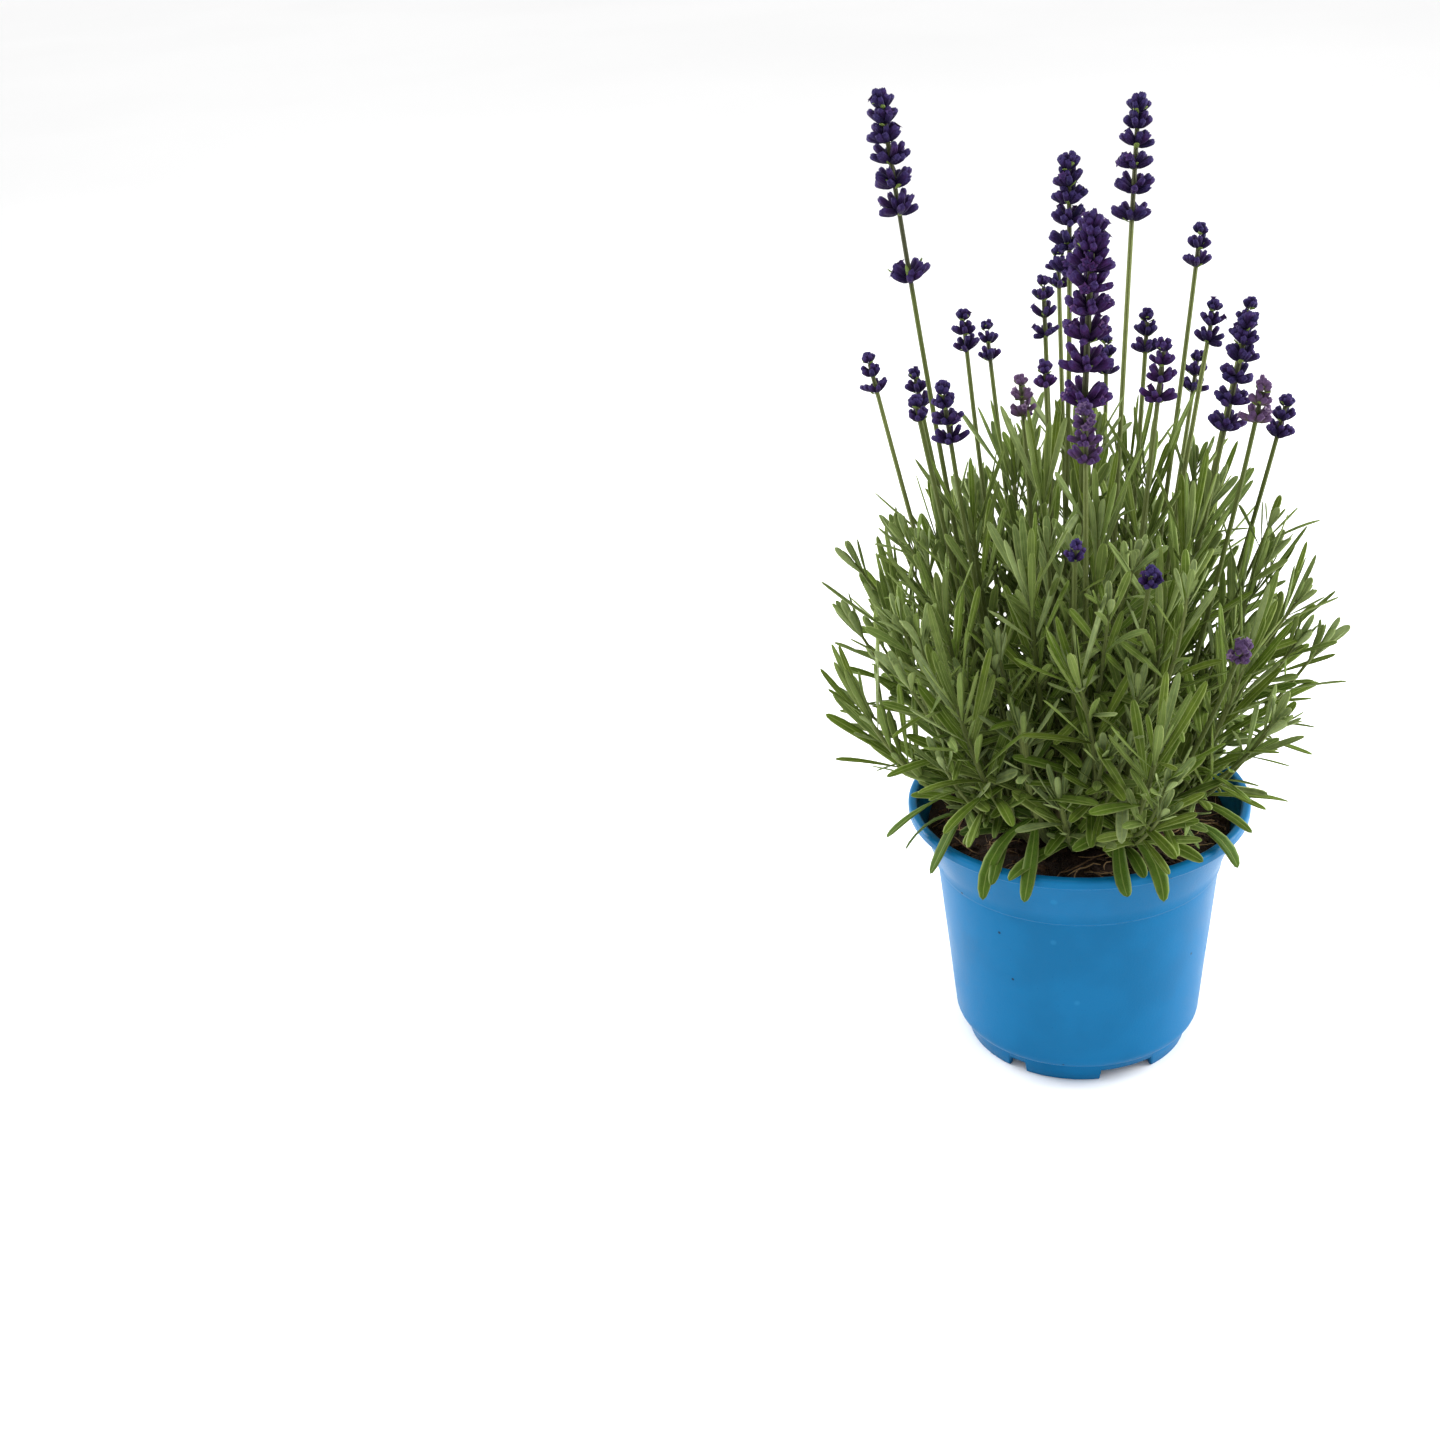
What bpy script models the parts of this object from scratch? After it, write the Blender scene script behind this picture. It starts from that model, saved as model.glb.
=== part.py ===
"""A pot of flowering lavender: a 13 cm nursery pot, its soil, and the plant in it.

Metres, +Z up. The origin is on the floor under the pot's axis, and the front of the plant faces -Y.
The plant grows by rule: each stem and leaf takes the first place it finds clear of all the others.
"""

import math

import bmesh
import bpy
import numpy as np

MM = 0.001
GAP = 0.3 * MM  # between any two pieces
FAR = 5 * MM  # room beyond this counts as open air

# ---- The pot ------------------------------------------------------------------------------------
POT_HEIGHT = 103 * MM
RIM_RADIUS = 65 * MM
WALL = 1.5 * MM
LIP_HEIGHT = 4 * MM
LIP_WIDTH = 4 * MM
COLLAR_HEIGHT = 25 * MM  # from the rim's top down to the step
COLLAR_FLARE = 6.6 * MM  # how much the collar widens on its way up
STEP = 0.7 * MM
FOOT_INSET = 5.2 * MM  # the foot ring stands this far inside the foot of the body
FOOT_HEIGHT = 8.5 * MM
FOOT_WALL = 2 * MM
BODY_TAPER = 6 * MM  # the body is this much wider below the step than at its rounded corner
CORNER_RADIUS = 4.6 * MM
FLOOR_THICKNESS = 1.6 * MM
FLOOR_CLEARANCE = 5 * MM  # the floor stands this far above the ground
POT_SIDES = 48

NOTCH_HEIGHT = 4.2 * MM
NOTCHES_PER_TURN = 3  # each turn of the pattern has a wide and a narrow notch
WIDE_NOTCH = math.radians(30)
NARROW_NOTCH = math.radians(10)
WIDE_NOTCH_AT = math.radians(-62.5)
NARROW_NOTCH_AT = math.radians(-1.5)
DRAIN_HOLES = 6
DRAIN_RADIUS = 3.5 * MM
DRAIN_CIRCLE = 26 * MM

# ---- The soil -----------------------------------------------------------------------------------
SOIL_DROP = 11 * MM  # from the rim's top down to the soil at the wall
SOIL_MOUND = 3 * MM  # how much higher the soil is in the middle
SOIL_BUMP = 0.5 * MM
SOIL_SIDES = 48

# ---- The plant ----------------------------------------------------------------------------------
CROWN_RADIUS = 7 * MM
CROWN_HEIGHT = 20 * MM
STEM_FEET = (11.5 * MM, 35 * MM)  # stems leave the soil between these radii
FOOT_SPACING = 6.4 * MM
STEM_START = 2.6 * MM  # the stems' lower ends, above the soil

FLOWER_STEM_RADIUS = 1.0 * MM
STEM_RUNS = 6  # rings on the bare part of a flower stem
WHORL_SPACING = 4.5 * MM
WHORL_SPREAD = 1.16  # each gap between whorls is this much longer than the one above it
WHORL_NECK = 1.5 * MM
LONE_WHORL = 1.12  # a lone whorl is this much wider than its head

SHOOTS = 28
SHOOT_STEM = (1.3 * MM, 0.75 * MM)  # half the side of the square stem, at its foot and its top
SHOOT_NODES = 6  # pairs of leaves on a shoot
SHOOT_POINT = 5 * MM  # the closed bud at a shoot's top
DOME_HEIGHT = 148 * MM  # the middle shoots' tops above the soil
DOME_RADIUS = 82 * MM  # the outer shoots' tops from the axis
DOME_DROP = 92 * MM  # how much lower the outer shoots end
DOME_TURN = 1.6  # direction of the first shoot, which turns the whole pattern
LEAF_LENGTH = (28 * MM, 38 * MM)
LEAF_WIDTH = 3.8 * MM
LEAF_THICKNESS = 0.8 * MM
LEAF_BASE = 1.6 * MM  # height of a leaf's foot on its stem
WATERING_SIDES = (math.radians(0), math.radians(180))  # open soil, where the can reaches in
WATERING_HALF_WIDTH = math.radians(27)
HEAD_LEAN = 0.5  # a head leans outward by this share of its stem's own slope
PLANT_REACH = 97 * MM  # no leaf ends farther than this from the axis

# The flower stems: tip x, y and height above the soil, whorls, head radius, gap to a last lone whorl (mm)
FLOWERS = (
    (-66, 0, 276, 6, 6.0, 22),
    (19, 12, 269, 6, 5.8, 0),
    (-4, 2, 253, 6, 5.7, 0),
    (4, -36, 239, 8, 7.6, 0),
    (-8, 44, 214, 3, 3.4, 0),
    (-13, 22, 209, 4, 3.2, 0),
    (42, 36, 222, 3, 3.6, 0),
    (46, 8, 202, 3, 3.8, 0),
    (61, 42, 193, 3, 3.8, 0),
    (56, -10, 200, 6, 5.4, 0),
    (60, -34, 186, 3, 4.2, 0),
    (72, 8, 167, 3, 4.0, 0),
    (-75, 6, 187, 3, 3.4, 0),
    (-42, 30, 195, 3, 3.8, 0),
    (-35, 56, 184, 3, 3.2, 0),
    (-46, -30, 186, 4, 4.4, 0),
    (-57, -12, 176, 2, 4.0, 0),
    (-21, 8, 177, 3, 3.4, 0),
    (-12, -8, 186, 2, 4.0, 0),
    (24, 30, 193, 3, 3.9, 0),
    (28, -22, 197, 4, 3.9, 0),
    (44, 62, 168, 3, 3.6, 0),
    (2, -56, 186, 4, 3.9, 0),
    (-1, -66, 143, 2, 3.0, 0),
    (24, -68, 134, 2, 3.4, 0),
    (54, -70, 107, 2, 4.6, 0),
    (-62, 48, 168, 3, 3.6, 0),
    (10, 74, 172, 3, 3.8, 0),
)

POT_BLUE = (0.028, 0.24, 0.56)
SOIL_BROWN = (0.018, 0.011, 0.007)
BARK_BROWN = (0.14, 0.10, 0.06)
LEAF_GREEN = (0.10, 0.18, 0.045)
FLOWER_VIOLET = (0.045, 0.018, 0.16)

COLLAR_BOTTOM = POT_HEIGHT - COLLAR_HEIGHT
COLLAR_TOP_RADIUS = RIM_RADIUS - LIP_WIDTH + 0.5 * MM
STEP_RADIUS = COLLAR_TOP_RADIUS - COLLAR_FLARE
BODY_TOP_RADIUS = STEP_RADIUS - STEP
BODY_BOTTOM_RADIUS = BODY_TOP_RADIUS - BODY_TAPER
FOOT_RADIUS = BODY_BOTTOM_RADIUS - FOOT_INSET
FLOOR_TOP = FLOOR_CLEARANCE + FLOOR_THICKNESS
SOIL_LEVEL = POT_HEIGHT - SOIL_DROP
SEED = 11
TRIES, LEAF_TRIES = 60, 14
RIM, CROWN = -2, -1  # owners of room that aren't stems


def clear_scene():
    for old in list(bpy.data.objects):
        bpy.data.objects.remove(old, do_unlink=True)


def material(name, colour, roughness):
    made = bpy.data.materials.new(name)
    made.use_nodes = True
    shader = made.node_tree.nodes["Principled BSDF"]
    shader.inputs["Base Color"].default_value = (*colour, 1)
    shader.inputs["Roughness"].default_value = roughness
    shader.inputs["Metallic"].default_value = 0
    return made


def object_from(bm, name, finish):
    """Closes the bmesh into an object whose faces all point outwards."""
    bmesh.ops.recalc_face_normals(bm, faces=bm.faces)
    mesh = bpy.data.meshes.new(name)
    bm.to_mesh(mesh)
    bm.free()
    mesh.materials.append(finish)
    mesh.shade_smooth()
    mesh.set_sharp_from_angle(angle=math.radians(40))
    made = bpy.data.objects.new(name, mesh)
    bpy.context.scene.collection.objects.link(made)
    return made


def turned(name, profile, sides, finish):
    """Turns a profile of (radius, height) points, whose two ends lie on the axis, once round Z."""
    bm = bmesh.new()
    points = [bm.verts.new((radius, 0, height)) for radius, height in profile]
    edges = [bm.edges.new(pair) for pair in zip(points, points[1:])]
    bmesh.ops.spin(
        bm, geom=points + edges, axis=(0, 0, 1), cent=(0, 0, 0), angle=2 * math.pi, steps=sides, use_merge=True
    )
    bmesh.ops.remove_doubles(bm, verts=bm.verts, dist=1e-6)
    return object_from(bm, name, finish)


# ---- Pot ----------------------------------------------------------------------------------------
def collar_radius(height):
    """The collar's outer radius at a height, on the straight flare from the step to the lip."""
    share = (height - COLLAR_BOTTOM) / (POT_HEIGHT - LIP_HEIGHT - COLLAR_BOTTOM)
    return STEP_RADIUS + COLLAR_FLARE * share


def body_radius(height):
    """The body's outer radius at a height, on the straight taper from the step to the corner."""
    corner_top = FOOT_HEIGHT + CORNER_RADIUS
    share = (height - corner_top) / (COLLAR_BOTTOM - corner_top)
    return BODY_BOTTOM_RADIUS + BODY_TAPER * share


def inner_radius(height):
    """The radius of the pot's inner wall at a height above the floor's rounded edge."""
    if height >= COLLAR_BOTTOM + WALL:
        return collar_radius(height) - WALL
    return body_radius(min(height, COLLAR_BOTTOM)) - WALL


def make_pot(finish):
    lip_inner = collar_radius(POT_HEIGHT) - WALL
    corner = [
        (
            body_radius(FOOT_HEIGHT + CORNER_RADIUS) - CORNER_RADIUS * 0.55 * (1 - math.cos(turn)),
            FOOT_HEIGHT + CORNER_RADIUS * (1 - math.sin(turn)),
        )
        for turn in np.radians((0, 30, 60, 90))
    ]
    profile = [
        (0, FLOOR_TOP),
        (inner_radius(FLOOR_TOP + CORNER_RADIUS) - CORNER_RADIUS, FLOOR_TOP),
        (inner_radius(FLOOR_TOP + CORNER_RADIUS * 1.6), FLOOR_TOP + CORNER_RADIUS * 1.6),
        (inner_radius(COLLAR_BOTTOM), COLLAR_BOTTOM),
        (inner_radius(COLLAR_BOTTOM + WALL), COLLAR_BOTTOM + WALL),
        (lip_inner, POT_HEIGHT - 1.0 * MM),
        (lip_inner + 0.8 * MM, POT_HEIGHT),
        (RIM_RADIUS - 0.9 * MM, POT_HEIGHT),
        (RIM_RADIUS, POT_HEIGHT - 0.9 * MM),
        (RIM_RADIUS, POT_HEIGHT - LIP_HEIGHT + 0.5 * MM),
        (RIM_RADIUS - 0.6 * MM, POT_HEIGHT - LIP_HEIGHT),
        (COLLAR_TOP_RADIUS, POT_HEIGHT - LIP_HEIGHT),
        (STEP_RADIUS, COLLAR_BOTTOM),
        (BODY_TOP_RADIUS, COLLAR_BOTTOM - STEP),
        *corner,
        (FOOT_RADIUS + 1.4 * MM, FOOT_HEIGHT - 0.4 * MM),
        (FOOT_RADIUS, 0),
        (FOOT_RADIUS - FOOT_WALL, 0),
        (FOOT_RADIUS - FOOT_WALL - 0.3 * MM, FLOOR_CLEARANCE),
        (0, FLOOR_CLEARANCE),
    ]
    pot = turned("pot", profile, POT_SIDES, finish)
    for cutter in (notch_cutter(), drain_cutter()):
        cut = pot.modifiers.new(cutter.name, "BOOLEAN")
        cut.operation = "DIFFERENCE"
        cut.object = cutter
    return pot


def as_cutter(bm, name, finish):
    cutter = object_from(bm, name, finish)
    cutter.hide_render = True
    cutter.display_type = "WIRE"
    return cutter


def notch_cutter():
    """Blocks that open the foot ring into a ring of separate feet."""
    bm = bmesh.new()
    inner, outer = FOOT_RADIUS - FOOT_WALL - 3 * MM, FOOT_RADIUS + 4 * MM
    for turn in range(NOTCHES_PER_TURN):
        for middle, width in ((WIDE_NOTCH_AT, WIDE_NOTCH), (NARROW_NOTCH_AT, NARROW_NOTCH)):
            steps = 5
            middle_here = middle + turn * 2 * math.pi / NOTCHES_PER_TURN
            angles = [middle_here + width * (i / steps - 0.5) for i in range(steps + 1)]
            outline = [(outer, a) for a in angles] + [(inner, a) for a in reversed(angles)]
            below = [bm.verts.new((r * math.cos(a), r * math.sin(a), -1 * MM)) for r, a in outline]
            block = bmesh.ops.extrude_face_region(bm, geom=[bm.faces.new(below)])["geom"]
            tops = [v for v in block if isinstance(v, bmesh.types.BMVert)]
            bmesh.ops.translate(bm, verts=tops, vec=(0, 0, NOTCH_HEIGHT + 1 * MM))
    return as_cutter(bm, "notch_cutter", None)


def drain_cutter():
    """Round pegs through the floor."""
    bm = bmesh.new()
    for hole in range(DRAIN_HOLES):
        angle = 2 * math.pi * hole / DRAIN_HOLES
        made = bmesh.ops.create_cone(
            bm,
            cap_ends=True,
            segments=12,
            radius1=DRAIN_RADIUS,
            radius2=DRAIN_RADIUS,
            depth=FLOOR_THICKNESS + 4 * MM,
        )
        centre = (
            DRAIN_CIRCLE * math.cos(angle),
            DRAIN_CIRCLE * math.sin(angle),
            FLOOR_CLEARANCE + FLOOR_THICKNESS / 2,
        )
        bmesh.ops.translate(bm, verts=made["verts"], vec=centre)
    return as_cutter(bm, "drain_cutter", None)


# ---- Soil ---------------------------------------------------------------------------------------
def soil_top(x, y):
    """Height of the soil: a low mound in the middle, with soft uneven bumps."""
    reach = inner_radius(SOIL_LEVEL)
    share = np.minimum(np.hypot(x, y) / reach, 1)
    bumps = np.sin(x * 210 + 1) * np.cos(y * 170) + np.sin(x * 90 - y * 260)
    return SOIL_LEVEL + SOIL_MOUND * (1 - share**2) + SOIL_BUMP * bumps * share


def make_soil(finish):
    bm = bmesh.new()
    floor = FLOOR_TOP + GAP
    corner = FLOOR_TOP + CORNER_RADIUS * 1.6
    side = [
        (inner_radius(FLOOR_TOP + CORNER_RADIUS) - CORNER_RADIUS, floor),
        (inner_radius(corner), corner + GAP),
        (inner_radius(COLLAR_BOTTOM), COLLAR_BOTTOM),
        (inner_radius(SOIL_LEVEL), SOIL_LEVEL),
    ]
    angles = np.arange(SOIL_SIDES) * 2 * math.pi / SOIL_SIDES
    # A flat-sided solid reaches out only to its corners, so the gap is measured there.
    rings = [[((r - GAP * 1.5) * np.cos(a), (r - GAP * 1.5) * np.sin(a), z) for a in angles] for r, z in side]
    rim = rings.pop()
    rings.append([(x, y, soil_top(x, y)) for x, y, _ in rim])
    for share in (0.8, 0.55, 0.28):
        rings.append([(x * share, y * share, soil_top(x * share, y * share)) for x, y, _ in rim])
    loft(bm, rings, (0, 0, floor), (0, 0, soil_top(0, 0)))
    return object_from(bm, "potting_soil", finish)


def loft(bm, rings, start, end):
    """Joins rings of points by quads and closes both ends on a point. Returns the rings' vertices."""
    verts = [[bm.verts.new(tuple(p)) for p in ring] for ring in rings]
    for low, high in zip(verts, verts[1:]):
        for i in range(len(low)):
            j = (i + 1) % len(low)
            bm.faces.new((low[i], low[j], high[j], high[i]))
    for ring, apex in ((verts[0][::-1], start), (verts[-1], end)):
        point = bm.verts.new(tuple(apex))
        for i in range(len(ring)):
            bm.faces.new((ring[i], ring[(i + 1) % len(ring)], point))
    return verts


# ---- Room for the plant -------------------------------------------------------------------------
class Room:
    """What already fills the air above the soil, as balls strung along stems, leaves and the rim."""

    def __init__(self):
        self.centres = np.empty((0, 3))
        self.radii = np.empty(0)
        self.owners = np.empty(0, int)

    def add(self, owner, centres, radii):
        self.centres = np.vstack([self.centres, centres])
        self.radii = np.append(self.radii, radii)
        self.owners = np.append(self.owners, np.full(len(centres), owner))

    def clearance(self, owner, centres, radii, own=False):
        """The smallest air gap, up to FAR, to all other pieces and the soil, or to the owner's own balls."""
        air = FAR
        if not own:
            air = min(air, float((centres[:, 2] - radii - soil_top(centres[:, 0], centres[:, 1])).min()))
        low, high = centres.min(axis=0) - FAR * 2, centres.max(axis=0) + FAR * 2
        near = ((self.centres > low) & (self.centres < high)).all(axis=1)
        near &= (self.owners == owner) if own else (self.owners != owner)
        if near.any():
            apart = np.linalg.norm(centres[:, None] - self.centres[None, near], axis=2)
            air = min(air, float((apart - radii[:, None] - self.radii[None, near]).min()))
        return air


def curve(start, bend, end, count):
    """Points on the quadratic curve that leaves start towards bend and arrives at end."""
    t = np.linspace(0, 1, count)[:, None]
    return (1 - t) ** 2 * start + 2 * t * (1 - t) * bend + t**2 * end


def strung(path, radii, spacing=1.7 * MM):
    """Balls about this far apart on the straight runs between a path's points, and their radii."""
    centres, sizes = [], []
    for a, b, radius_a, radius_b in zip(path, path[1:], radii, radii[1:]):
        t = np.linspace(0, 1, max(2, int(np.linalg.norm(b - a) / spacing) + 1))
        centres.append(a + (b - a) * t[:, None])
        sizes.append(radius_a + (radius_b - radius_a) * t)
    return np.vstack(centres), np.concatenate(sizes)


def unit(vector):
    return vector / np.linalg.norm(vector)


def stem_feet(tips):
    """Where each stem leaves the soil: under its tip but drawn in, and pushed apart to its spacing."""
    feet = tips[:, :2] * 0.42
    low, high = STEM_FEET
    for _ in range(400):
        apart = feet[:, None] - feet[None]
        far = np.linalg.norm(apart, axis=2) + np.eye(len(feet))
        push = np.clip(FOOT_SPACING - far, 0, None) * (1 - np.eye(len(feet)))
        feet = feet + 0.25 * (apart / far[..., None] * push[..., None]).sum(axis=1)
        radius = np.linalg.norm(feet, axis=1)[:, None]
        feet = feet * np.clip(radius, low, high) / radius
    heights = soil_top(feet[:, 0], feet[:, 1]) + STEM_START
    return np.column_stack([feet, heights])


# ---- Crown --------------------------------------------------------------------------------------
def make_crown(room, finish):
    """The short woody stump that the plant grows from."""
    bm = bmesh.new()
    sides = 8
    rings = []
    for share, size in ((0, 1.0), (0.3, 0.82), (0.65, 0.88), (1, 0.55)):
        height = float(soil_top(0, 0)) + GAP + 0.4 * MM + CROWN_HEIGHT * share
        angles = np.arange(sides) * 2 * math.pi / sides + 0.5 * share
        knots = 1 + 0.16 * np.sin(3 * angles + 4 * share)
        radii = CROWN_RADIUS * size * knots / 1.16
        rings.append([(r * math.cos(a), r * math.sin(a), height) for r, a in zip(radii, angles)])
    bottom, top = rings[0][0][2], rings[-1][0][2]
    loft(bm, rings, (0, 0, bottom - 0.2 * MM), (0, 0, top + 2 * MM))
    ends = np.array([(0, 0, bottom + CROWN_RADIUS), (0, 0, top - 3 * MM)])
    room.add(CROWN, *strung(ends, (CROWN_RADIUS, CROWN_RADIUS)))
    return object_from(bm, "woody_crown", finish)


# ---- Flower stems -------------------------------------------------------------------------------
def head_profile(whorls, radius, lone_gap):
    """(distance below the tip, radius) down the head: a bulge for each whorl, a neck between them."""
    profile, depth, spacing = [(0.7 * MM, WHORL_NECK * 0.8)], 0, WHORL_SPACING
    for whorl in range(whorls):
        fullness = 0.82 + 0.18 * min(1, whorl / 2)
        profile.append((depth + spacing * 0.62, radius * fullness))
        profile.append((depth + spacing, WHORL_NECK))
        depth += spacing
        spacing *= WHORL_SPREAD
    if lone_gap:
        depth += lone_gap
        profile += [
            (depth - 4 * MM, FLOWER_STEM_RADIUS),
            (depth, radius * LONE_WHORL),
            (depth + 1.6 * MM, FLOWER_STEM_RADIUS),
        ]
    return profile


def frame_along(path):
    """Two directions across the path at each of its points, which don't twist along it."""
    forward = np.gradient(path, axis=0)
    forward /= np.linalg.norm(forward, axis=1)[:, None]
    side = np.cross(forward, (0.0, 1.0, 0.0))
    side /= np.linalg.norm(side, axis=1)[:, None]
    return side, np.cross(forward, side)


def tube_rings(path, radii, sides, turn=0.0):
    side, up = frame_along(path)
    angles = np.arange(sides) * 2 * math.pi / sides + turn
    around = np.cos(angles)[None, :, None] * side[:, None] + np.sin(angles)[None, :, None] * up[:, None]
    return path[:, None] + around * np.asarray(radii)[:, None, None]


def make_flower_stem(owner, foot, tip, entry, room, chance, finish):
    """A bare square-cornered stem that ends in a spike of whorls."""
    _, _, _, whorls, radius, lone_gap = entry
    lean = -HEAD_LEAN * tip[0] / (tip[2] - SOIL_LEVEL)
    head = head_profile(whorls, radius * MM, lone_gap * MM)[::-1]
    best, best_air = None, -1
    for tries in range(TRIES):
        sway = chance.normal(size=3) * (2 + tries * 0.4) * MM
        bend = foot + (tip - foot) * (0, 0.34, 0.52) + sway * (1, 1, 0)
        bend[0] += tip[0] + lean * (tip[2] - bend[2]) - foot[0]
        fine = curve(foot, bend, tip, 200)
        from_tip = np.append(np.linalg.norm(np.diff(fine, axis=0), axis=1)[::-1].cumsum()[::-1], 0)
        stem = np.linspace(from_tip[0], head[0][0] + 2 * MM, STEM_RUNS)
        depths = np.array([*stem, *(depth for depth, _ in head)])
        radii = np.array([FLOWER_STEM_RADIUS] * len(stem) + [width for _, width in head])
        path = np.column_stack([np.interp(depths, from_tip[::-1], fine[::-1, i]) for i in range(3)])
        air = room.clearance(owner, *strung(path, radii))
        if air > best_air:
            best, best_air = (path, radii, fine[-1]), air
        if air > GAP * 2:
            break
    path, radii, end = best
    room.add(owner, *strung(path, radii))
    bm = bmesh.new()
    loft(bm, tube_rings(path, radii, 5), path[0] - (0, 0, 0.3 * MM), end)
    return object_from(bm, f"flower_stem_{owner + 1:02d}", finish)


# ---- Leafy shoots -------------------------------------------------------------------------------
def shoot_tips():
    """Tops of the leafy shoots, spread evenly over a dome by the golden angle."""
    tips = []
    for i in range(SHOOTS):
        share = math.sqrt((i + 0.6) / SHOOTS)
        angle = i * math.pi * (3 - math.sqrt(5)) + DOME_TURN
        away = DOME_RADIUS * share
        height = DOME_HEIGHT - DOME_DROP * share**2.2
        tips.append((away * math.cos(angle), away * math.sin(angle), SOIL_LEVEL + height))
    return np.array(tips)


def near_watering_side(point):
    angle = math.atan2(point[1], point[0])
    turns = [abs((angle - side + math.pi) % (2 * math.pi) - math.pi) for side in WATERING_SIDES]
    return min(turns) < WATERING_HALF_WIDTH


def leaf_middle_and_tip(foot, out, forward, share, chance, tries):
    """A leaf's widest point and its tip. Low leaves spread and droop, high ones stand up."""
    spread = math.radians(66 - 36 * share + chance.normal() * (5 + tries))
    length = chance.uniform(*LEAF_LENGTH) * (1 - 0.022 * tries) * (0.84 + 0.16 * share)
    across = np.cross(forward, out)
    out = unit(out + across * chance.normal() * (0.12 + 0.05 * tries))
    rising = forward * math.cos(spread) + out * math.sin(spread)
    droop = np.array((0, 0, -0.34 * (1 - share) + 0.1 * share))
    middle = foot + rising * length * 0.55
    tip = middle + unit(rising + droop) * length * 0.45
    return middle, tip, across


def shoot_stem(owner, foot, tip, room, chance):
    """The places of a shoot's rings, their radii and its top, on the first clear way up to its tip."""
    gaps = np.linspace(0.24, 0.97, SHOOT_NODES)
    best, best_air = None, -1
    for tries in range(TRIES):
        sway = chance.normal(size=3) * (1.5 + tries * 0.3) * MM
        end = tip + chance.normal(size=3) * tries * 0.25 * MM
        bend = foot + (end - foot) * (0.66, 0.66, 0.4) + sway * (1, 1, 0)
        fine = curve(foot, bend, end, 200)
        total = np.linalg.norm(np.diff(fine, axis=0), axis=1).sum()
        shares = [0.0] + [at - below for at in gaps for below in (LEAF_BASE / total, 0)]
        places = np.array([fine[int(round(share * 199))] for share in shares])
        radii = np.linspace(SHOOT_STEM[0], SHOOT_STEM[1], len(shares)) * math.sqrt(2)
        top = fine[-1] + unit(fine[-1] - fine[-8]) * SHOOT_POINT
        line = strung([*places, top], [*radii, 0])
        air = room.clearance(owner, *line)
        if air > best_air:
            best, best_air = (places, radii, top, line), air
        if air > GAP * 2:
            break
    places, radii, top, line = best
    room.add(owner, *line)
    return places, radii, top


def make_shoot(owner, number, stem, room, chance, finish):
    """A square stem whose leaves grow in pairs, each pair at right angles to the last."""
    places, radii, top = stem
    rings = tube_rings(places, radii, 4, chance.uniform(0, math.pi / 2))
    bm = bmesh.new()
    verts = loft(bm, rings, places[0] - unit(places[1] - places[0]) * 0.3 * MM, top)
    for pair in range(SHOOT_NODES):
        low, high = verts[1 + 2 * pair], verts[2 + 2 * pair]
        share = pair / (SHOOT_NODES - 1)
        for side in ((0, 2) if pair % 2 == 0 else (1, 3)):
            corners = [low[side], low[(side + 1) % 4], high[(side + 1) % 4], high[side]]
            grow_leaf(bm, owner, corners, places, 1 + 2 * pair, share, room, chance)
    return object_from(bm, f"leafy_shoot_{number:02d}", finish)


def grow_leaf(bm, owner, corners, places, ring, share, room, chance):
    """Grows a leaf out of one side of the stem, if it finds room there."""
    spots = np.array([v.co for v in corners])
    foot = spots.mean(axis=0)
    forward = unit(places[ring + 1] - places[ring])
    out = foot - (places[ring] + places[ring + 1]) / 2
    out = unit(out - forward * (out @ forward))
    for tries in range(LEAF_TRIES):
        middle, tip, across = leaf_middle_and_tip(foot, out, forward, share, chance, tries)
        if near_watering_side(tip) and tip[2] < POT_HEIGHT + 26 * MM:
            continue
        if math.hypot(tip[0], tip[1]) > PLANT_REACH:
            continue
        balls, sizes = strung((foot, middle, tip), (SHOOT_STEM[0], LEAF_WIDTH / 2 + 0.1 * MM, 0.4 * MM))
        beyond = np.linalg.norm(balls - foot, axis=1) > 7 * MM
        free = room.clearance(owner, balls[beyond], sizes[beyond], own=True) > GAP
        if free and room.clearance(owner, balls, sizes) > GAP:
            break
    else:
        return
    room.add(owner, balls, sizes)
    flat = unit(across)
    if flat @ (spots[1] - spots[0]) < 0:
        flat = -flat
    thick = unit(np.cross(flat, middle - foot))
    if thick @ (spots[3] - spots[0]) < 0:
        thick = -thick
    half, deep = LEAF_WIDTH / 2, LEAF_THICKNESS / 2
    widest = [
        bm.verts.new(tuple(middle + flat * half * a + thick * deep * b)) for a, b in ((-1, -1), (1, -1), (1, 1), (-1, 1))
    ]
    bm.faces.remove(bm.faces.get(corners))
    point = bm.verts.new(tuple(tip))
    for i in range(4):
        j = (i + 1) % 4
        bm.faces.new((corners[i], corners[j], widest[j], widest[i]))
        bm.faces.new((widest[i], widest[j], point))


def ring_of_rim(room):
    """The lip and the wall above the soil, as balls that stems and leaves stay clear of."""
    middle = (RIM_RADIUS + inner_radius(SOIL_LEVEL)) / 2
    size = (RIM_RADIUS - inner_radius(SOIL_LEVEL)) / 2 + 0.6 * MM
    count = int(2 * math.pi * middle / (2 * MM))
    angles = np.arange(count) * 2 * math.pi / count
    for height in (POT_HEIGHT - size * 0.9, POT_HEIGHT - size * 1.8):
        ring = np.column_stack([middle * np.cos(angles), middle * np.sin(angles), np.full(count, height)])
        room.add(RIM, ring, np.full(count, size))


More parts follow.
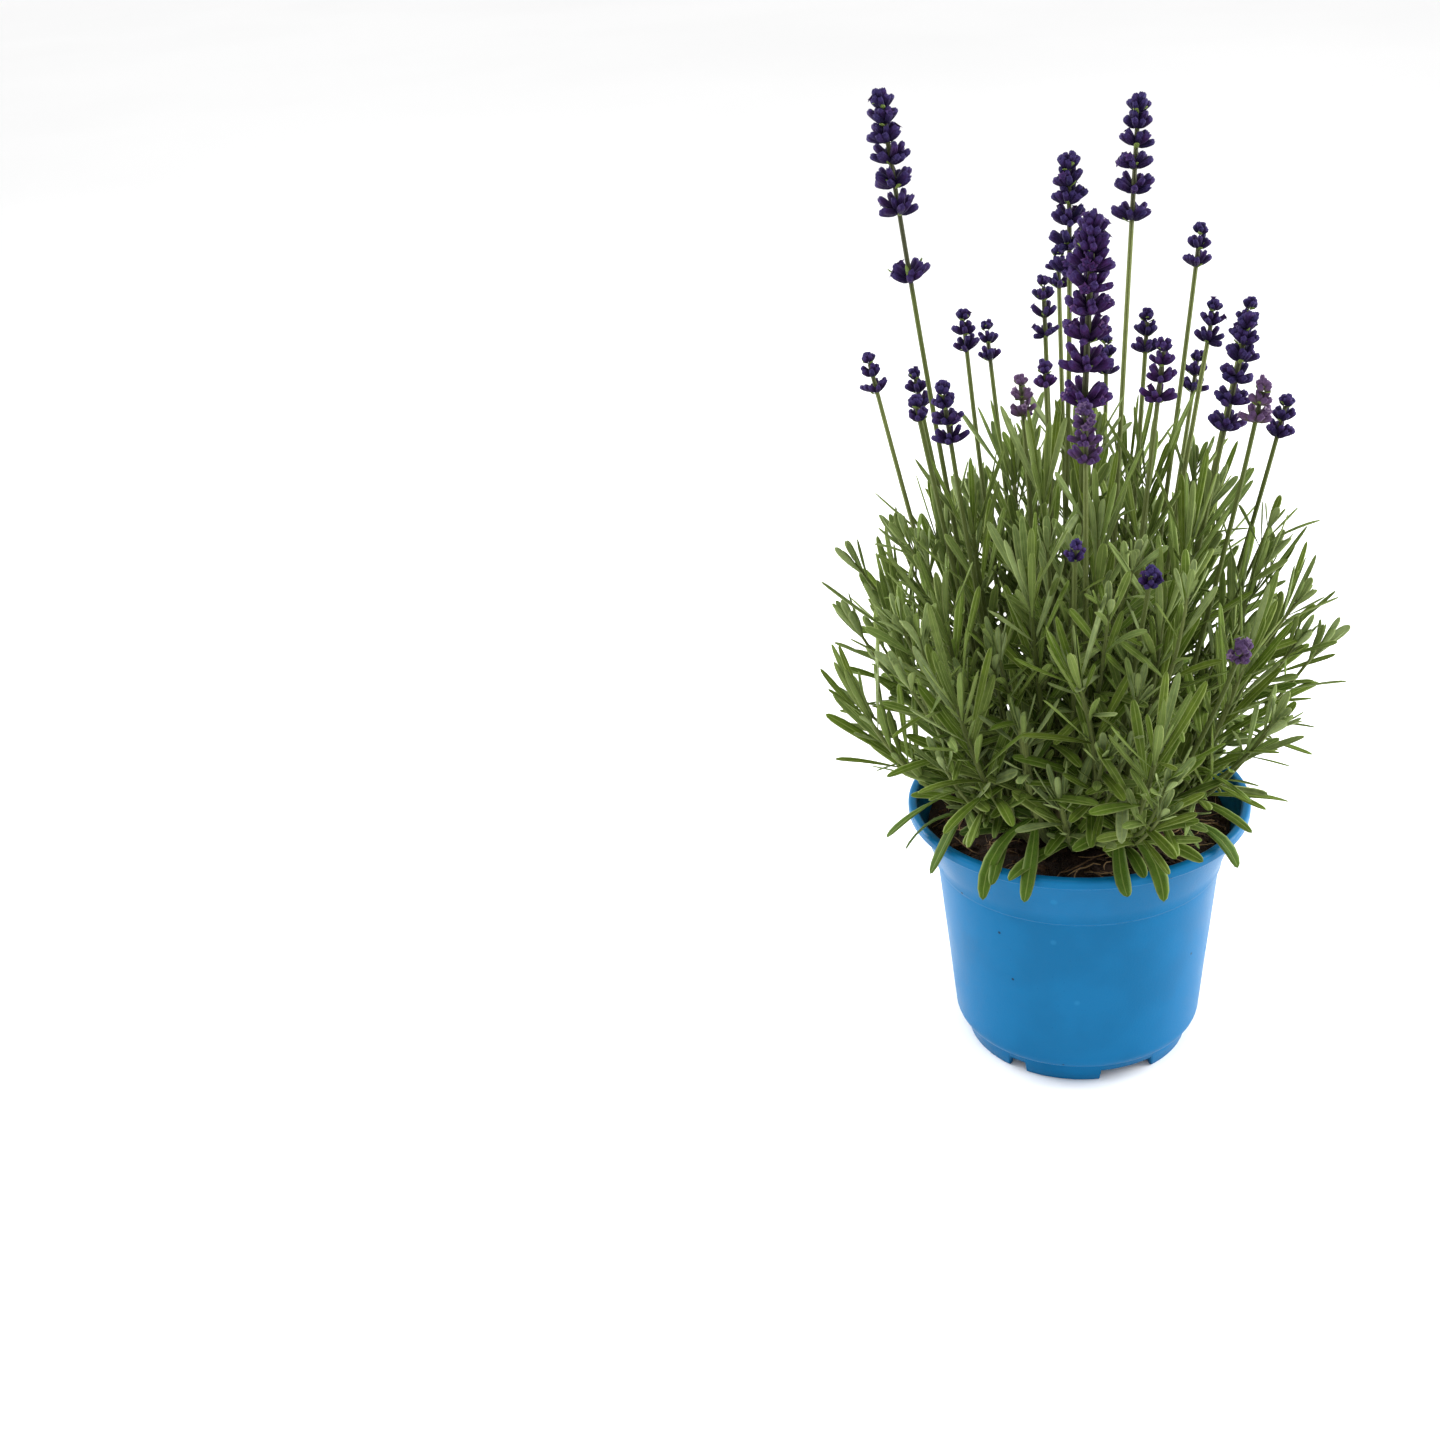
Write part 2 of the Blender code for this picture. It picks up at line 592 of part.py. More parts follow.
def main():
    clear_scene()
    chance = np.random.default_rng(SEED)
    make_pot(material("pot_plastic", POT_BLUE, 0.4))
    make_soil(material("soil", SOIL_BROWN, 0.95))
    room = Room()
    ring_of_rim(room)
    make_crown(room, material("bark", BARK_BROWN, 0.9))
    flower_tips = np.array([(x, y, h + SOIL_LEVEL / MM) for x, y, h, *_ in FLOWERS]) * MM
    tips = np.vstack([flower_tips, shoot_tips()])
    feet = stem_feet(tips)
    violet = material("flowers", FLOWER_VIOLET, 0.7)
    for i, entry in enumerate(FLOWERS):
        make_flower_stem(i, feet[i], tips[i], entry, room, chance, violet)
    green = material("leaves", LEAF_GREEN, 0.6)
    owners = range(len(FLOWERS), len(tips))
    stems = [shoot_stem(owner, feet[owner], tips[owner], room, chance) for owner in owners]
    for number, (owner, stem) in enumerate(zip(owners, stems), 1):
        make_shoot(owner, number, stem, room, chance, green)


main()
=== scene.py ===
# %% [markdown]
# # A pot of flowering lavender
# A nursery pot of blue plastic holds dark peat and one lavender plant: square grey-green shoots with paired
# narrow leaves, and bare stalks that carry spikes of violet flowers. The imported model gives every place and
# size. Each of its plain solids is read back here as a few paths and radii, and a fine surface grows along
# them.

import math

import bpy
import numpy as np
from mathutils import Matrix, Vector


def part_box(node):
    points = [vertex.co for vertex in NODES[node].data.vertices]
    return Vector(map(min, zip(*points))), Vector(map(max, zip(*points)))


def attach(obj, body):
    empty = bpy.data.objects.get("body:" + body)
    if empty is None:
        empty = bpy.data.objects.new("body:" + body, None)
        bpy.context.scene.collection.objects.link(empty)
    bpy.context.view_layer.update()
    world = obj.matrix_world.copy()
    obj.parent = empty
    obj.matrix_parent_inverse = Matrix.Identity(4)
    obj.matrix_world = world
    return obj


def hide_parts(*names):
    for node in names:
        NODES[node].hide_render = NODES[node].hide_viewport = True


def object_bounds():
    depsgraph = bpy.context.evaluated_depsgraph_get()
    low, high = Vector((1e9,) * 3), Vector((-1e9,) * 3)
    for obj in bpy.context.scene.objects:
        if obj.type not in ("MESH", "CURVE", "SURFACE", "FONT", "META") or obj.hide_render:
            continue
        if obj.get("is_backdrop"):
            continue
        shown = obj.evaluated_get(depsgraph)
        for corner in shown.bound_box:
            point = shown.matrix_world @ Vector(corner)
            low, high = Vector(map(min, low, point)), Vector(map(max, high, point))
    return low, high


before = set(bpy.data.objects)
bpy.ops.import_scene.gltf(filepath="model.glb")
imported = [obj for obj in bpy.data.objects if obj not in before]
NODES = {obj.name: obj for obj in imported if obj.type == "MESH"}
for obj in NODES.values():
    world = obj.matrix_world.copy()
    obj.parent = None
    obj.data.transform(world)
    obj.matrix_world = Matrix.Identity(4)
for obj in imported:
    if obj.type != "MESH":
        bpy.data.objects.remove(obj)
CAD_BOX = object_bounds()
MM = 0.001
pot_low, pot_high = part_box("pot")
RIM_RADIUS = (pot_high.x - pot_low.x) / 2
RIM_TOP = pot_high.z
PLANT_TOP = CAD_BOX[1].z
chance = np.random.default_rng(7)
print(f"pot {RIM_RADIUS / MM:.0f} mm to the lip and {RIM_TOP / MM:.0f} mm high")
print(f"plant {PLANT_TOP / MM:.0f} mm high")

# %% [markdown]
# ## The camera
# A small plant is seen from above eye level with its pot, so the camera looks down on it a little. The lens
# is a short telephoto, and the camera is turned so that the plant stands in the right half of a square frame.
# Pointing it at the plant and shifting the lens would bend the view in another way. Here three angles turn
# the camera about its own place: pan about the vertical, then tilt down, then roll about the line of sight.

# %% Camera
CAMERA_PLACE = (0.0, -0.700, 0.485)
PAN, TILT, ROLL = -0.194, 0.457, -0.081

sight = np.array((math.sin(PAN) * math.cos(TILT), math.cos(PAN) * math.cos(TILT), -math.sin(TILT)))
level = np.array((math.cos(PAN), -math.sin(PAN), 0.0))
above = np.cross(level, sight)
right = math.cos(ROLL) * level + math.sin(ROLL) * above
upright = math.cos(ROLL) * above - math.sin(ROLL) * level

camera = bpy.data.objects.new("camera", bpy.data.cameras.new("camera"))
camera.data.lens = 50.9
camera.data.sensor_width = 36
camera.data.clip_start = 0.01
turned = Matrix(np.stack([right, upright, -sight], axis=1))
camera.matrix_world = Matrix.Translation(CAMERA_PLACE) @ turned.to_4x4()
bpy.context.scene.collection.objects.link(camera)
bpy.context.scene.camera = camera
print("the camera looks along", sight.round(3))

# %% [markdown]
# ## Reading the plain solids
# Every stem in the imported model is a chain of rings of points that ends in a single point, so a stem's line
# can be read back from its mesh. A solid's points are first met once each, with a table of which ones share
# an edge. Stepping outwards from an end point, one edge at a time, then gives the rings in order.


# %% Solids as points and rings
def unit(vectors):
    """Each vector divided by its own length."""
    return vectors / np.maximum(np.linalg.norm(vectors, axis=-1, keepdims=True), 1e-12)


def solid(node):
    """A node's points, each place once, and a square table that is true where two points share an edge."""
    mesh = NODES[node].data
    places = np.empty(len(mesh.vertices) * 3, np.float32)
    mesh.vertices.foreach_get("co", places)
    corners = np.empty(len(mesh.loops), np.int32)
    mesh.loops.foreach_get("vertex_index", corners)
    places = places.reshape(-1, 3).astype(float)
    rounded = (places / (0.001 * MM)).round()
    _, first, same = np.unique(rounded, axis=0, return_index=True, return_inverse=True)
    triangles = same.reshape(-1)[corners].reshape(-1, 3)
    touch = np.zeros((len(first), len(first)), bool)
    for side in ((0, 1), (1, 2), (2, 0)):
        a, b = triangles[:, side[0]], triangles[:, side[1]]
        touch[a, b] = touch[b, a] = True
    return places[first], touch


def layers(touch, start, allowed):
    """Sets of points that lie 0, 1, 2 and so on edges away from the start, over the allowed points."""
    found, seen, front = [], ~allowed, np.arange(len(touch)) == start
    while front.any():
        found.append(np.flatnonzero(front))
        seen = seen | front
        front = touch[front].any(axis=0) & ~seen
    return found


def smooth_path(places, count, degree=4):
    """Points on the polynomial that fits the places best, by the share of the way along them."""
    steps = np.linalg.norm(np.diff(places, axis=0), axis=1)
    share = np.append(0, steps.cumsum()) / steps.sum()
    powers = np.linspace(0, 1, count)[:, None] ** np.arange(degree, -1, -1)
    return powers @ np.polyfit(share, places, degree)


points, touch = solid("flower_stem_01")
rings = layers(touch, points[:, 2].argmax(), np.ones(len(points), bool))
print(f"flower_stem_01 has {len(points)} points in {len(rings)} layers")

# %% [markdown]
# ## One way to make surfaces
# Pot, stems, leaves and petals are all a grid: rows of points along the piece, columns round it, and a
# point that closes each end. So one function skins any number of such grids at once, with whole arrays.
# Besides its place, each point gets a look: three numbers that the materials read, such as how old a leaf
# is, which also sets how much painted shade it gets.


# %% Skins and pieces
def skin(rings, start, end, look=(0.0, 0.0, 0.0), across=None, along=None, finish=0):
    """Faces over grids of points, (copies, rows, columns, 3), closed by one point before and one after the rows.

    A quad joins column j and j + 1 of rows i and i + 1, and the last column meets the first. A fan of triangles
    joins each end row to its end point. UV x is across, and UV y is along. Faces are turned to point outwards,
    which they do if the volume under them, a third of the sum of place . normal . area, is above zero.
    """
    copies, rows, columns, _ = rings.shape
    across = np.linspace(0, 1, columns + 1) if across is None else np.append(across, across[0])
    along = np.linspace(0, 1, rows) if along is None else np.asarray(along)
    size = rows * columns
    points = np.concatenate([rings.reshape(copies, size, 3), start[:, None], end[:, None]], axis=1)
    looks = np.broadcast_to(np.asarray(look, float), (copies, rows, columns, 3))
    ends = looks[:, [0, -1]].mean(axis=2)
    looks = np.concatenate([looks.reshape(copies, size, 3), ends], axis=1)

    row, column = np.divmod(np.arange((rows - 1) * columns), columns)
    beside = (column + 1) % columns
    low, high = row * columns, (row + 1) * columns
    quads = np.stack([low + column, low + beside, high + beside, high + column], axis=1)
    here, there = across[column], across[column + 1]
    low, high = along[row], along[row + 1]
    quad_uv = np.stack([here, low, there, low, there, high, here, high], axis=1)
    column = np.arange(columns)
    beside = (column + 1) % columns
    last = size - columns
    fans = [
        np.stack([beside, column, np.full(columns, size)], axis=1),
        np.stack([last + column, last + beside, np.full(columns, size + 1)], axis=1),
    ]
    here, there, half = across[:-1], across[1:], (across[:-1] + across[1:]) / 2
    low, high = np.full(columns, along[0]), np.full(columns, along[-1])
    fan_uv = [
        np.stack([there, low, here, low, half, low], axis=1),
        np.stack([here, high, there, high, half, np.ones(columns)], axis=1),
    ]
    triangles, triangle_uv = np.concatenate(fans), np.concatenate(fan_uv)

    flat = np.concatenate([quads[:, [0, 1, 2]], quads[:, [0, 2, 3]], triangles])
    a, b, c = (points[:, flat[:, i]] for i in range(3))
    if (a * np.cross(b, c)).sum() < 0:
        quads, quad_uv = quads[:, ::-1], quad_uv.reshape(-1, 4, 2)[:, ::-1].reshape(-1, 8)
        triangles, triangle_uv = triangles[:, ::-1], triangle_uv.reshape(-1, 3, 2)[:, ::-1].reshape(-1, 6)
    shift = np.arange(copies)[:, None, None] * (size + 2)
    return {
        "points": points.reshape(-1, 3),
        "looks": looks.reshape(-1, 3),
        "quads": (quads[None] + shift).reshape(-1, 4),
        "triangles": (triangles[None] + shift).reshape(-1, 3),
        "uv": np.concatenate([np.tile(quad_uv.ravel(), copies), np.tile(triangle_uv.ravel(), copies)]),
        "finish": finish,
    }


def tube(paths, radii, columns=8, square=0.0, reference=(0, 1, 0), **skin_options):
    """Rings round paths, (copies, rows, 3): each lies across its path at its radius, and closes past its ends.

    A ring's radius at the angle a is r (1 + square cos 4a), which makes the four-sided stems of the mint family.
    """
    ahead = unit(np.gradient(paths, axis=1))
    side = unit(np.cross(ahead, reference))
    other = np.cross(ahead, side)
    angles = np.arange(columns) * 2 * math.pi / columns
    radii = np.broadcast_to(radii, paths.shape[:2])[..., None, None]
    swell = (1 + square * np.cos(4 * angles))[:, None]
    around = np.cos(angles)[:, None] * side[:, :, None] + np.sin(angles)[:, None] * other[:, :, None]
    rings = paths[:, :, None] + radii * swell * around
    start = paths[:, 0] - ahead[:, 0] * radii[:, 0, 0] * 0.4
    end = paths[:, -1] + ahead[:, -1] * radii[:, -1, 0] * 0.4
    return skin(rings, start, end, **skin_options)


def piece(name, skins, finishes, slot, *replaced):
    """Joins skins into one object that rides on the root, with its UV map, its looks and its materials."""
    counts = np.cumsum([0] + [len(s["points"]) for s in skins])
    quads = [s["quads"] + shift for s, shift in zip(skins, counts)]
    triangles = [s["triangles"] + shift for s, shift in zip(skins, counts)]
    faces = [face for pair in zip(quads, triangles) for group in pair for face in group.tolist()]
    mesh = bpy.data.meshes.new(name)
    points = np.concatenate([s["points"] for s in skins])
    mesh.from_pydata(points.tolist(), [], faces)
    mesh.uv_layers.new(name="surface").data.foreach_set("uv", np.concatenate([s["uv"] for s in skins]))
    looks = np.column_stack([np.concatenate([s["looks"] for s in skins]), np.ones(len(points))])
    mesh.attributes.new("look", "FLOAT_COLOR", "POINT").data.foreach_set("color", looks.ravel())
    for finish in finishes:
        mesh.materials.append(finish)
    kinds = np.concatenate([np.full(len(s["quads"]) + len(s["triangles"]), s["finish"]) for s in skins])
    mesh.polygons.foreach_set("material_index", kinds)
    mesh.shade_smooth()
    mesh.update()
    made = bpy.data.objects.new(name, mesh)
    bpy.context.scene.collection.objects.link(made)
    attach(made, "root")
    if replaced:
        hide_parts(*replaced)
    return made


# %% [markdown]
# ## Shader building blocks
# Most finishes here need the same three effects: soft patches with a fine grain in them, scattered specks,
# and ribs that run along a piece. Each is a node group with its own inputs, so that leaf, plastic and peat
# can use it at their own scale. A group only gives out numbers. The shader and its fixed values stay in the
# material.


# %% Nodes and groups
def srgb(red, green, blue):
    """A screen colour, 0 to 255, as the linear colour that shaders use: ((c + 0.055) / 1.055) ** 2.4."""
    screen = np.array((red, green, blue)) / 255
    linear = np.where(screen <= 0.04045, screen / 12.92, ((screen + 0.055) / 1.055) ** 2.4)
    return (*linear.tolist(), 1.0)


def add(tree, kind, inputs=(), **settings):
    """Adds a node. An input takes a plain value, or another node's output, which is linked to it."""
    node = tree.nodes.new(kind)
    for name, value in settings.items():
        setattr(node, name, value)
    for key, value in dict(inputs).items():
        if isinstance(value, bpy.types.NodeSocket):
            tree.links.new(value, node.inputs[key])
        else:
            node.inputs[key].default_value = value
    return node


def maths(tree, operation, *values):
    """The result of a Math node."""
    return add(tree, "ShaderNodeMath", dict(enumerate(values)), operation=operation).outputs[0]


def ramp(tree, value, low, high, start=0.0, end=1.0):
    """A smooth step from start to end as the value goes from low to high."""
    inputs = {"Value": value, "From Min": low, "From Max": high, "To Min": start, "To Max": end}
    return add(tree, "ShaderNodeMapRange", inputs, interpolation_type="SMOOTHSTEP").outputs["Result"]


def mixed(tree, share, first, second):
    """The first colour, with a share of it given over to the second."""
    node = add(tree, "ShaderNodeMix", {0: share, 6: first, 7: second}, data_type="RGBA")
    return node.outputs[2]


def new_group(name, inputs, outputs):
    """An empty node group with named inputs and outputs, and its two end nodes."""
    tree = bpy.data.node_groups.new(name, "ShaderNodeTree")
    for socket, kind in inputs.items():
        tree.interface.new_socket(name=socket, in_out="INPUT", socket_type=kind)
    for socket in outputs:
        tree.interface.new_socket(name=socket, in_out="OUTPUT", socket_type="NodeSocketFloat")
    return tree, tree.nodes.new("NodeGroupInput").outputs, tree.nodes.new("NodeGroupOutput").inputs


VECTOR, NUMBER = "NodeSocketVector", "NodeSocketFloat"

mottle, given, result = new_group(
    "mottle", {"Vector": VECTOR, "Patch Scale": NUMBER, "Grain Scale": NUMBER}, ("Patches", "Grain")
)
for scale, output, low, high in (("Patch Scale", "Patches", 0.36, 0.64), ("Grain Scale", "Grain", 0.3, 0.7)):
    sockets = {"Vector": given["Vector"], "Scale": given[scale], "Detail": 3.0}
    noise = add(mottle, "ShaderNodeTexNoise", sockets)
    mottle.links.new(ramp(mottle, noise.outputs[0], low, high), result[output])

specks, given, result = new_group(
    "specks", {"Vector": VECTOR, "Scale": NUMBER, "Size": NUMBER, "Share": NUMBER}, ("Mask",)
)
cells = add(specks, "ShaderNodeTexVoronoi", {"Vector": given["Vector"], "Scale": given["Scale"]})
inner = maths(specks, "MULTIPLY", given["Size"], 0.5)
dots = ramp(specks, cells.outputs["Distance"], inner, given["Size"], 1.0, 0.0)
drawn = add(specks, "ShaderNodeSeparateColor", {"Color": cells.outputs["Color"]}).outputs["Red"]
chosen = maths(specks, "LESS_THAN", drawn, given["Share"])
specks.links.new(maths(specks, "MULTIPLY", dots, chosen), result["Mask"])

ribs, given, result = new_group("ribs", {"Across": NUMBER, "Count": NUMBER}, ("Height",))
turns = maths(ribs, "MULTIPLY", maths(ribs, "MULTIPLY", given["Across"], given["Count"]), 2 * math.pi)
ribs.links.new(maths(ribs, "MULTIPLY_ADD", maths(ribs, "COSINE", turns), 0.5, 0.5), result["Height"])
print("node groups:", [group.name for group in bpy.data.node_groups])


# %% Materials start alike
def new_material(name, **sockets):
    """A material's tree, its Principled shader with its fixed values set, and what its patterns read.

    What they read is the place on the object, the UV map's two numbers, and the three looks.
    """
    made = bpy.data.materials.new(name)
    made.use_nodes = True
    tree = made.node_tree
    shader = tree.nodes["Principled BSDF"]
    for socket, value in sockets.items():
        shader.inputs[socket.replace("_", " ")].default_value = value
    place = add(tree, "ShaderNodeTexCoord").outputs["Object"]
    uv_map = add(tree, "ShaderNodeUVMap", uv_map="surface").outputs["UV"]
    uv = add(tree, "ShaderNodeSeparateXYZ", {"Vector": uv_map}).outputs
    look = add(tree, "ShaderNodeAttribute", attribute_name="look").outputs["Color"]
    looks = add(tree, "ShaderNodeSeparateColor", {"Color": look}).outputs
    return made, tree, shader, place, uv, looks


def use(tree, group, **inputs):
    """Places a node group and gives its outputs."""
    inputs = {name.replace("_", " "): value for name, value in inputs.items()}
    node = tree.nodes.new("ShaderNodeGroup")
    node.node_tree = group
    for name, value in inputs.items():
        if isinstance(value, bpy.types.NodeSocket):
            tree.links.new(value, node.inputs[name])
        else:
            node.inputs[name].default_value = value
    return node.outputs


def wire(tree, shader, colour, roughness=None, height=None, depth=0.0):
    """Links a pattern to the shader. Height goes through a Bump node that is depth metres deep."""
    tree.links.new(colour, shader.inputs["Base Color"])
    if roughness is not None:
        tree.links.new(roughness, shader.inputs["Roughness"])
    if height is not None:
        bump = add(tree, "ShaderNodeBump", {"Height": height, "Strength": 1.0, "Distance": depth})
        tree.links.new(bump.outputs["Normal"], shader.inputs["Normal"])


print(f"{len(bpy.data.node_groups)} node groups are shared by all the finishes")

# %% [markdown]
# ## The pot
# The pot is blown from one sheet of blue plastic, so it has a rounded lip, a collar that flares, a thin
# step where the collar ends, a tapered body, and a foot ring with notches that let water out. A lathe could
# turn all but the notches. Here the outline is turned by a formula instead, and the foot's lower edge is a
# function of the angle: it lifts to the notch height between each notch's two sides. Columns are packed
# close at those sides.

# %% Pot sizes
WALL = 1.5 * MM
LIP_HEIGHT, LIP_WIDTH = 4 * MM, 3.5 * MM
COLLAR_HEIGHT, COLLAR_FLARE = 25 * MM, 6.6 * MM
STEP = 0.7 * MM
BODY_TAPER = 6 * MM
CORNER = 4.6 * MM
FOOT_HEIGHT, FOOT_INSET, FOOT_WALL = 8.5 * MM, 5.2 * MM, 2 * MM
FLOOR_LOW, FLOOR_TOP = 5 * MM, 6.6 * MM
NOTCH_HEIGHT, NOTCH_SIDE = 4.2 * MM, math.radians(0.8)
NOTCHES = ((-62.5, 30), (-1.5, 10))  # middle and width in degrees, three times round
DRAIN_HOLES, DRAIN_RADIUS, DRAIN_CIRCLE = 6, 3.5 * MM, 26 * MM

COLLAR_LOW = RIM_TOP - COLLAR_HEIGHT
COLLAR_TOP_RADIUS = RIM_RADIUS - LIP_WIDTH
STEP_RADIUS = COLLAR_TOP_RADIUS - COLLAR_FLARE
BODY_TOP_RADIUS = STEP_RADIUS - STEP
BODY_LOW_RADIUS = BODY_TOP_RADIUS - BODY_TAPER
FOOT_RADIUS = BODY_LOW_RADIUS - FOOT_INSET


def collar_radius(height):
    """The collar's outer radius: a straight flare from the step up to the lip."""
    return STEP_RADIUS + COLLAR_FLARE * (height - COLLAR_LOW) / (COLLAR_HEIGHT - LIP_HEIGHT)


def arc(centre, radius, start, end, count):
    """Points on an arc of an outline, from one angle in degrees to another."""
    angles = np.radians(np.linspace(start, end, count))
    return np.column_stack([centre[0] + radius * np.cos(angles), centre[1] + radius * np.sin(angles)])


def straight(start, end, count):
    """Evenly spaced points on a line, without its last one."""
    return np.linspace(start, end, count, endpoint=False)


def pot_outline():
    """(radius, height) from the floor's middle, up inside, over the lip, down and back under the floor."""
    lip_inner = collar_radius(RIM_TOP) - WALL
    body_low = FOOT_HEIGHT + CORNER
    crest = 1.4 * MM
    bead = 0.9 * MM
    outline = [
        [(8 * MM, FLOOR_TOP), (BODY_LOW_RADIUS - WALL - CORNER - 3 * MM, FLOOR_TOP)],
        arc((BODY_LOW_RADIUS - WALL - CORNER, FLOOR_TOP + CORNER), CORNER, -90, 0, 7),
        straight(
            (BODY_LOW_RADIUS - WALL + 0.3 * MM, FLOOR_TOP + 8 * MM),
            (BODY_TOP_RADIUS - WALL, COLLAR_LOW),
            10,
        ),
        straight((STEP_RADIUS - WALL, COLLAR_LOW + WALL), (lip_inner, RIM_TOP - 3 * MM), 8),
        [(lip_inner, RIM_TOP - 2 * MM)],
        arc((lip_inner + crest, RIM_TOP - crest), crest, 180, 90, 7),
        arc((RIM_RADIUS - crest, RIM_TOP - crest), crest, 90, 0, 8),
        arc((RIM_RADIUS - bead, RIM_TOP - LIP_HEIGHT + bead), bead, 0, -90, 6),
        [(COLLAR_TOP_RADIUS + 0.5 * MM, RIM_TOP - LIP_HEIGHT - 0.1 * MM)],
        straight(
            (COLLAR_TOP_RADIUS - 0.1 * MM, RIM_TOP - LIP_HEIGHT - 0.9 * MM),
            (STEP_RADIUS, COLLAR_LOW + 1.5 * MM),
            10,
        ),
        [(STEP_RADIUS + 0.28 * MM, COLLAR_LOW + 0.9 * MM), (STEP_RADIUS + 0.25 * MM, COLLAR_LOW + 0.35 * MM)],
        [(STEP_RADIUS - 0.1 * MM, COLLAR_LOW), (BODY_TOP_RADIUS, COLLAR_LOW - 0.5 * MM)],
        straight((BODY_TOP_RADIUS, COLLAR_LOW - 1.1 * MM), (BODY_LOW_RADIUS, body_low), 16),
        arc((0, 0), CORNER, 0, -84, 9) * (0.55, 1) + (BODY_LOW_RADIUS - CORNER * 0.55, body_low),
        [(FOOT_RADIUS + 1.3 * MM, FOOT_HEIGHT - 0.5 * MM), (FOOT_RADIUS + 1.0 * MM, FOOT_HEIGHT - 1.2 * MM)],
    ]
    return np.concatenate([np.array(part, float).reshape(-1, 2) for part in outline])


def notch_lift(angles):
    """How far the foot's lower edge is lifted: the notch height inside a notch, nothing outside it."""
    lift = np.zeros(len(angles))
    for middle, width in NOTCHES:
        for turn in range(3):
            away = (angles - math.radians(middle + turn * 120) + math.pi) % (2 * math.pi) - math.pi
            inside = np.clip((math.radians(width / 2) - np.abs(away)) / NOTCH_SIDE + 0.5, 0, 1)
            lift = np.maximum(lift, NOTCH_HEIGHT * inside)
    return lift


def pot_angles():
    """Even columns, with extra ones at both sides of each notch."""
    sides = [
        math.radians(middle + turn * 120 + sign * width / 2) + NOTCH_SIDE * part
        for middle, width in NOTCHES
        for turn in range(3)
        for sign in (-1, 1)
        for part in (-0.9, -0.5, 0.5, 0.9)
    ]
    evenly = np.linspace(0, 2 * math.pi, 216, endpoint=False)
    return np.unique((np.concatenate([evenly, sides]) % (2 * math.pi)).round(5))


def applied(made, *cutters):
    """Cuts the cutters out of an object, keeps the result as its mesh, and removes them."""
    for cutter in cutters:
        cut = made.modifiers.new("cut", "BOOLEAN")
        cut.operation = "DIFFERENCE"
        cut.object = cutter
    done = bpy.data.meshes.new_from_object(made.evaluated_get(bpy.context.evaluated_depsgraph_get()))
    made.modifiers.clear()
    made.data = done
    for cutter in cutters:
        bpy.data.objects.remove(cutter, do_unlink=True)
    return made


print(f"collar step at {COLLAR_LOW / MM:.0f} mm, its radius {STEP_RADIUS / MM:.1f} mm")

# %% Plastic
# Satin azure plastic: nearly even, with faint cloudy patches, a few dark specks and rubbed pale marks.
plastic, tree, shader, place, uv, looks = new_material("pot_plastic", IOR=1.5, Specular_IOR_Level=0.08)
cloud = use(tree, mottle, Vector=place, Patch_Scale=38.0, Grain_Scale=1400.0)
dirt = use(tree, specks, Vector=place, Scale=210.0, Size=0.16, Share=0.018)
flecks = use(tree, specks, Vector=place, Scale=900.0, Size=0.3, Share=0.02)
scuffs = use(tree, specks, Vector=place, Scale=120.0, Size=0.22, Share=0.05)
colour = mixed(tree, cloud["Patches"], srgb(8, 95, 142), srgb(10, 100, 149))
colour = mixed(tree, maths(tree, "MULTIPLY", scuffs["Mask"], 0.25), colour, srgb(50, 132, 182))
colour = mixed(tree, maths(tree, "MULTIPLY", flecks["Mask"], 0.35), colour, srgb(6, 70, 110))
colour = mixed(tree, maths(tree, "MULTIPLY", dirt["Mask"], 0.85), colour, srgb(22, 30, 36))
dull = maths(tree, "MULTIPLY_ADD", cloud["Patches"], 0.08, 0.30)
dull = maths(tree, "MULTIPLY_ADD", scuffs["Mask"], 0.2, dull)
wire(tree, shader, colour, dull, cloud["Grain"], 0.02 * MM)
print(f"{plastic.name}: {len(plastic.node_tree.nodes)} nodes")

# %% Pot
outline = pot_outline()
angles = pot_angles()
lift = notch_lift(angles)
foot = [
    (FOOT_RADIUS + 0.55 * MM, 4.4 * MM, 0.0),
    (FOOT_RADIUS + 0.15 * MM, 0.35 * MM, 1.0),
    (FOOT_RADIUS - 0.3 * MM, 0.0, 1.0),
    (FOOT_RADIUS - FOOT_WALL + 0.3 * MM, 0.0, 1.0),
    (FOOT_RADIUS - FOOT_WALL, 0.35 * MM, 1.0),
    (FOOT_RADIUS - FOOT_WALL - 0.2 * MM, 4.4 * MM, 0.0),
    (FOOT_RADIUS - FOOT_WALL - 0.4 * MM, FLOOR_LOW, 0.0),
    (FOOT_RADIUS - FOOT_WALL - 2 * MM, FLOOR_LOW, 0.0),
    (8 * MM, FLOOR_LOW, 0.0),
]
radii = np.append(outline[:, 0], [row[0] for row in foot])
heights = np.append(outline[:, 1], [row[1] for row in foot])[:, None] + np.zeros(len(angles))
lifts = np.append(np.zeros(len(outline)), [row[2] for row in foot])[:, None] * lift
heights = heights + lifts * (NOTCH_HEIGHT - 0.35 * MM) / NOTCH_HEIGHT
rings = np.stack([radii[:, None] * np.cos(angles), radii[:, None] * np.sin(angles), heights], axis=-1)
shell = skin(rings[None], np.array([(0, 0, FLOOR_TOP)]), np.array([(0, 0, FLOOR_LOW)]))
pot = piece("nursery_pot", [shell], [plastic], "pot_plastic", "pot")

turn = np.arange(DRAIN_HOLES) * 2 * math.pi / DRAIN_HOLES
drains = np.stack([DRAIN_CIRCLE * np.cos(turn), DRAIN_CIRCLE * np.sin(turn), np.zeros(DRAIN_HOLES)], axis=-1)
pegs = tube(drains[:, None] + np.array([(0, 0, 2 * MM), (0, 0, 12 * MM)]), DRAIN_RADIUS, columns=24)
applied(pot, piece("drain_pegs", [pegs], [plastic], "pot_plastic"))
print(f"nursery_pot has {len(pot.data.polygons)} faces")

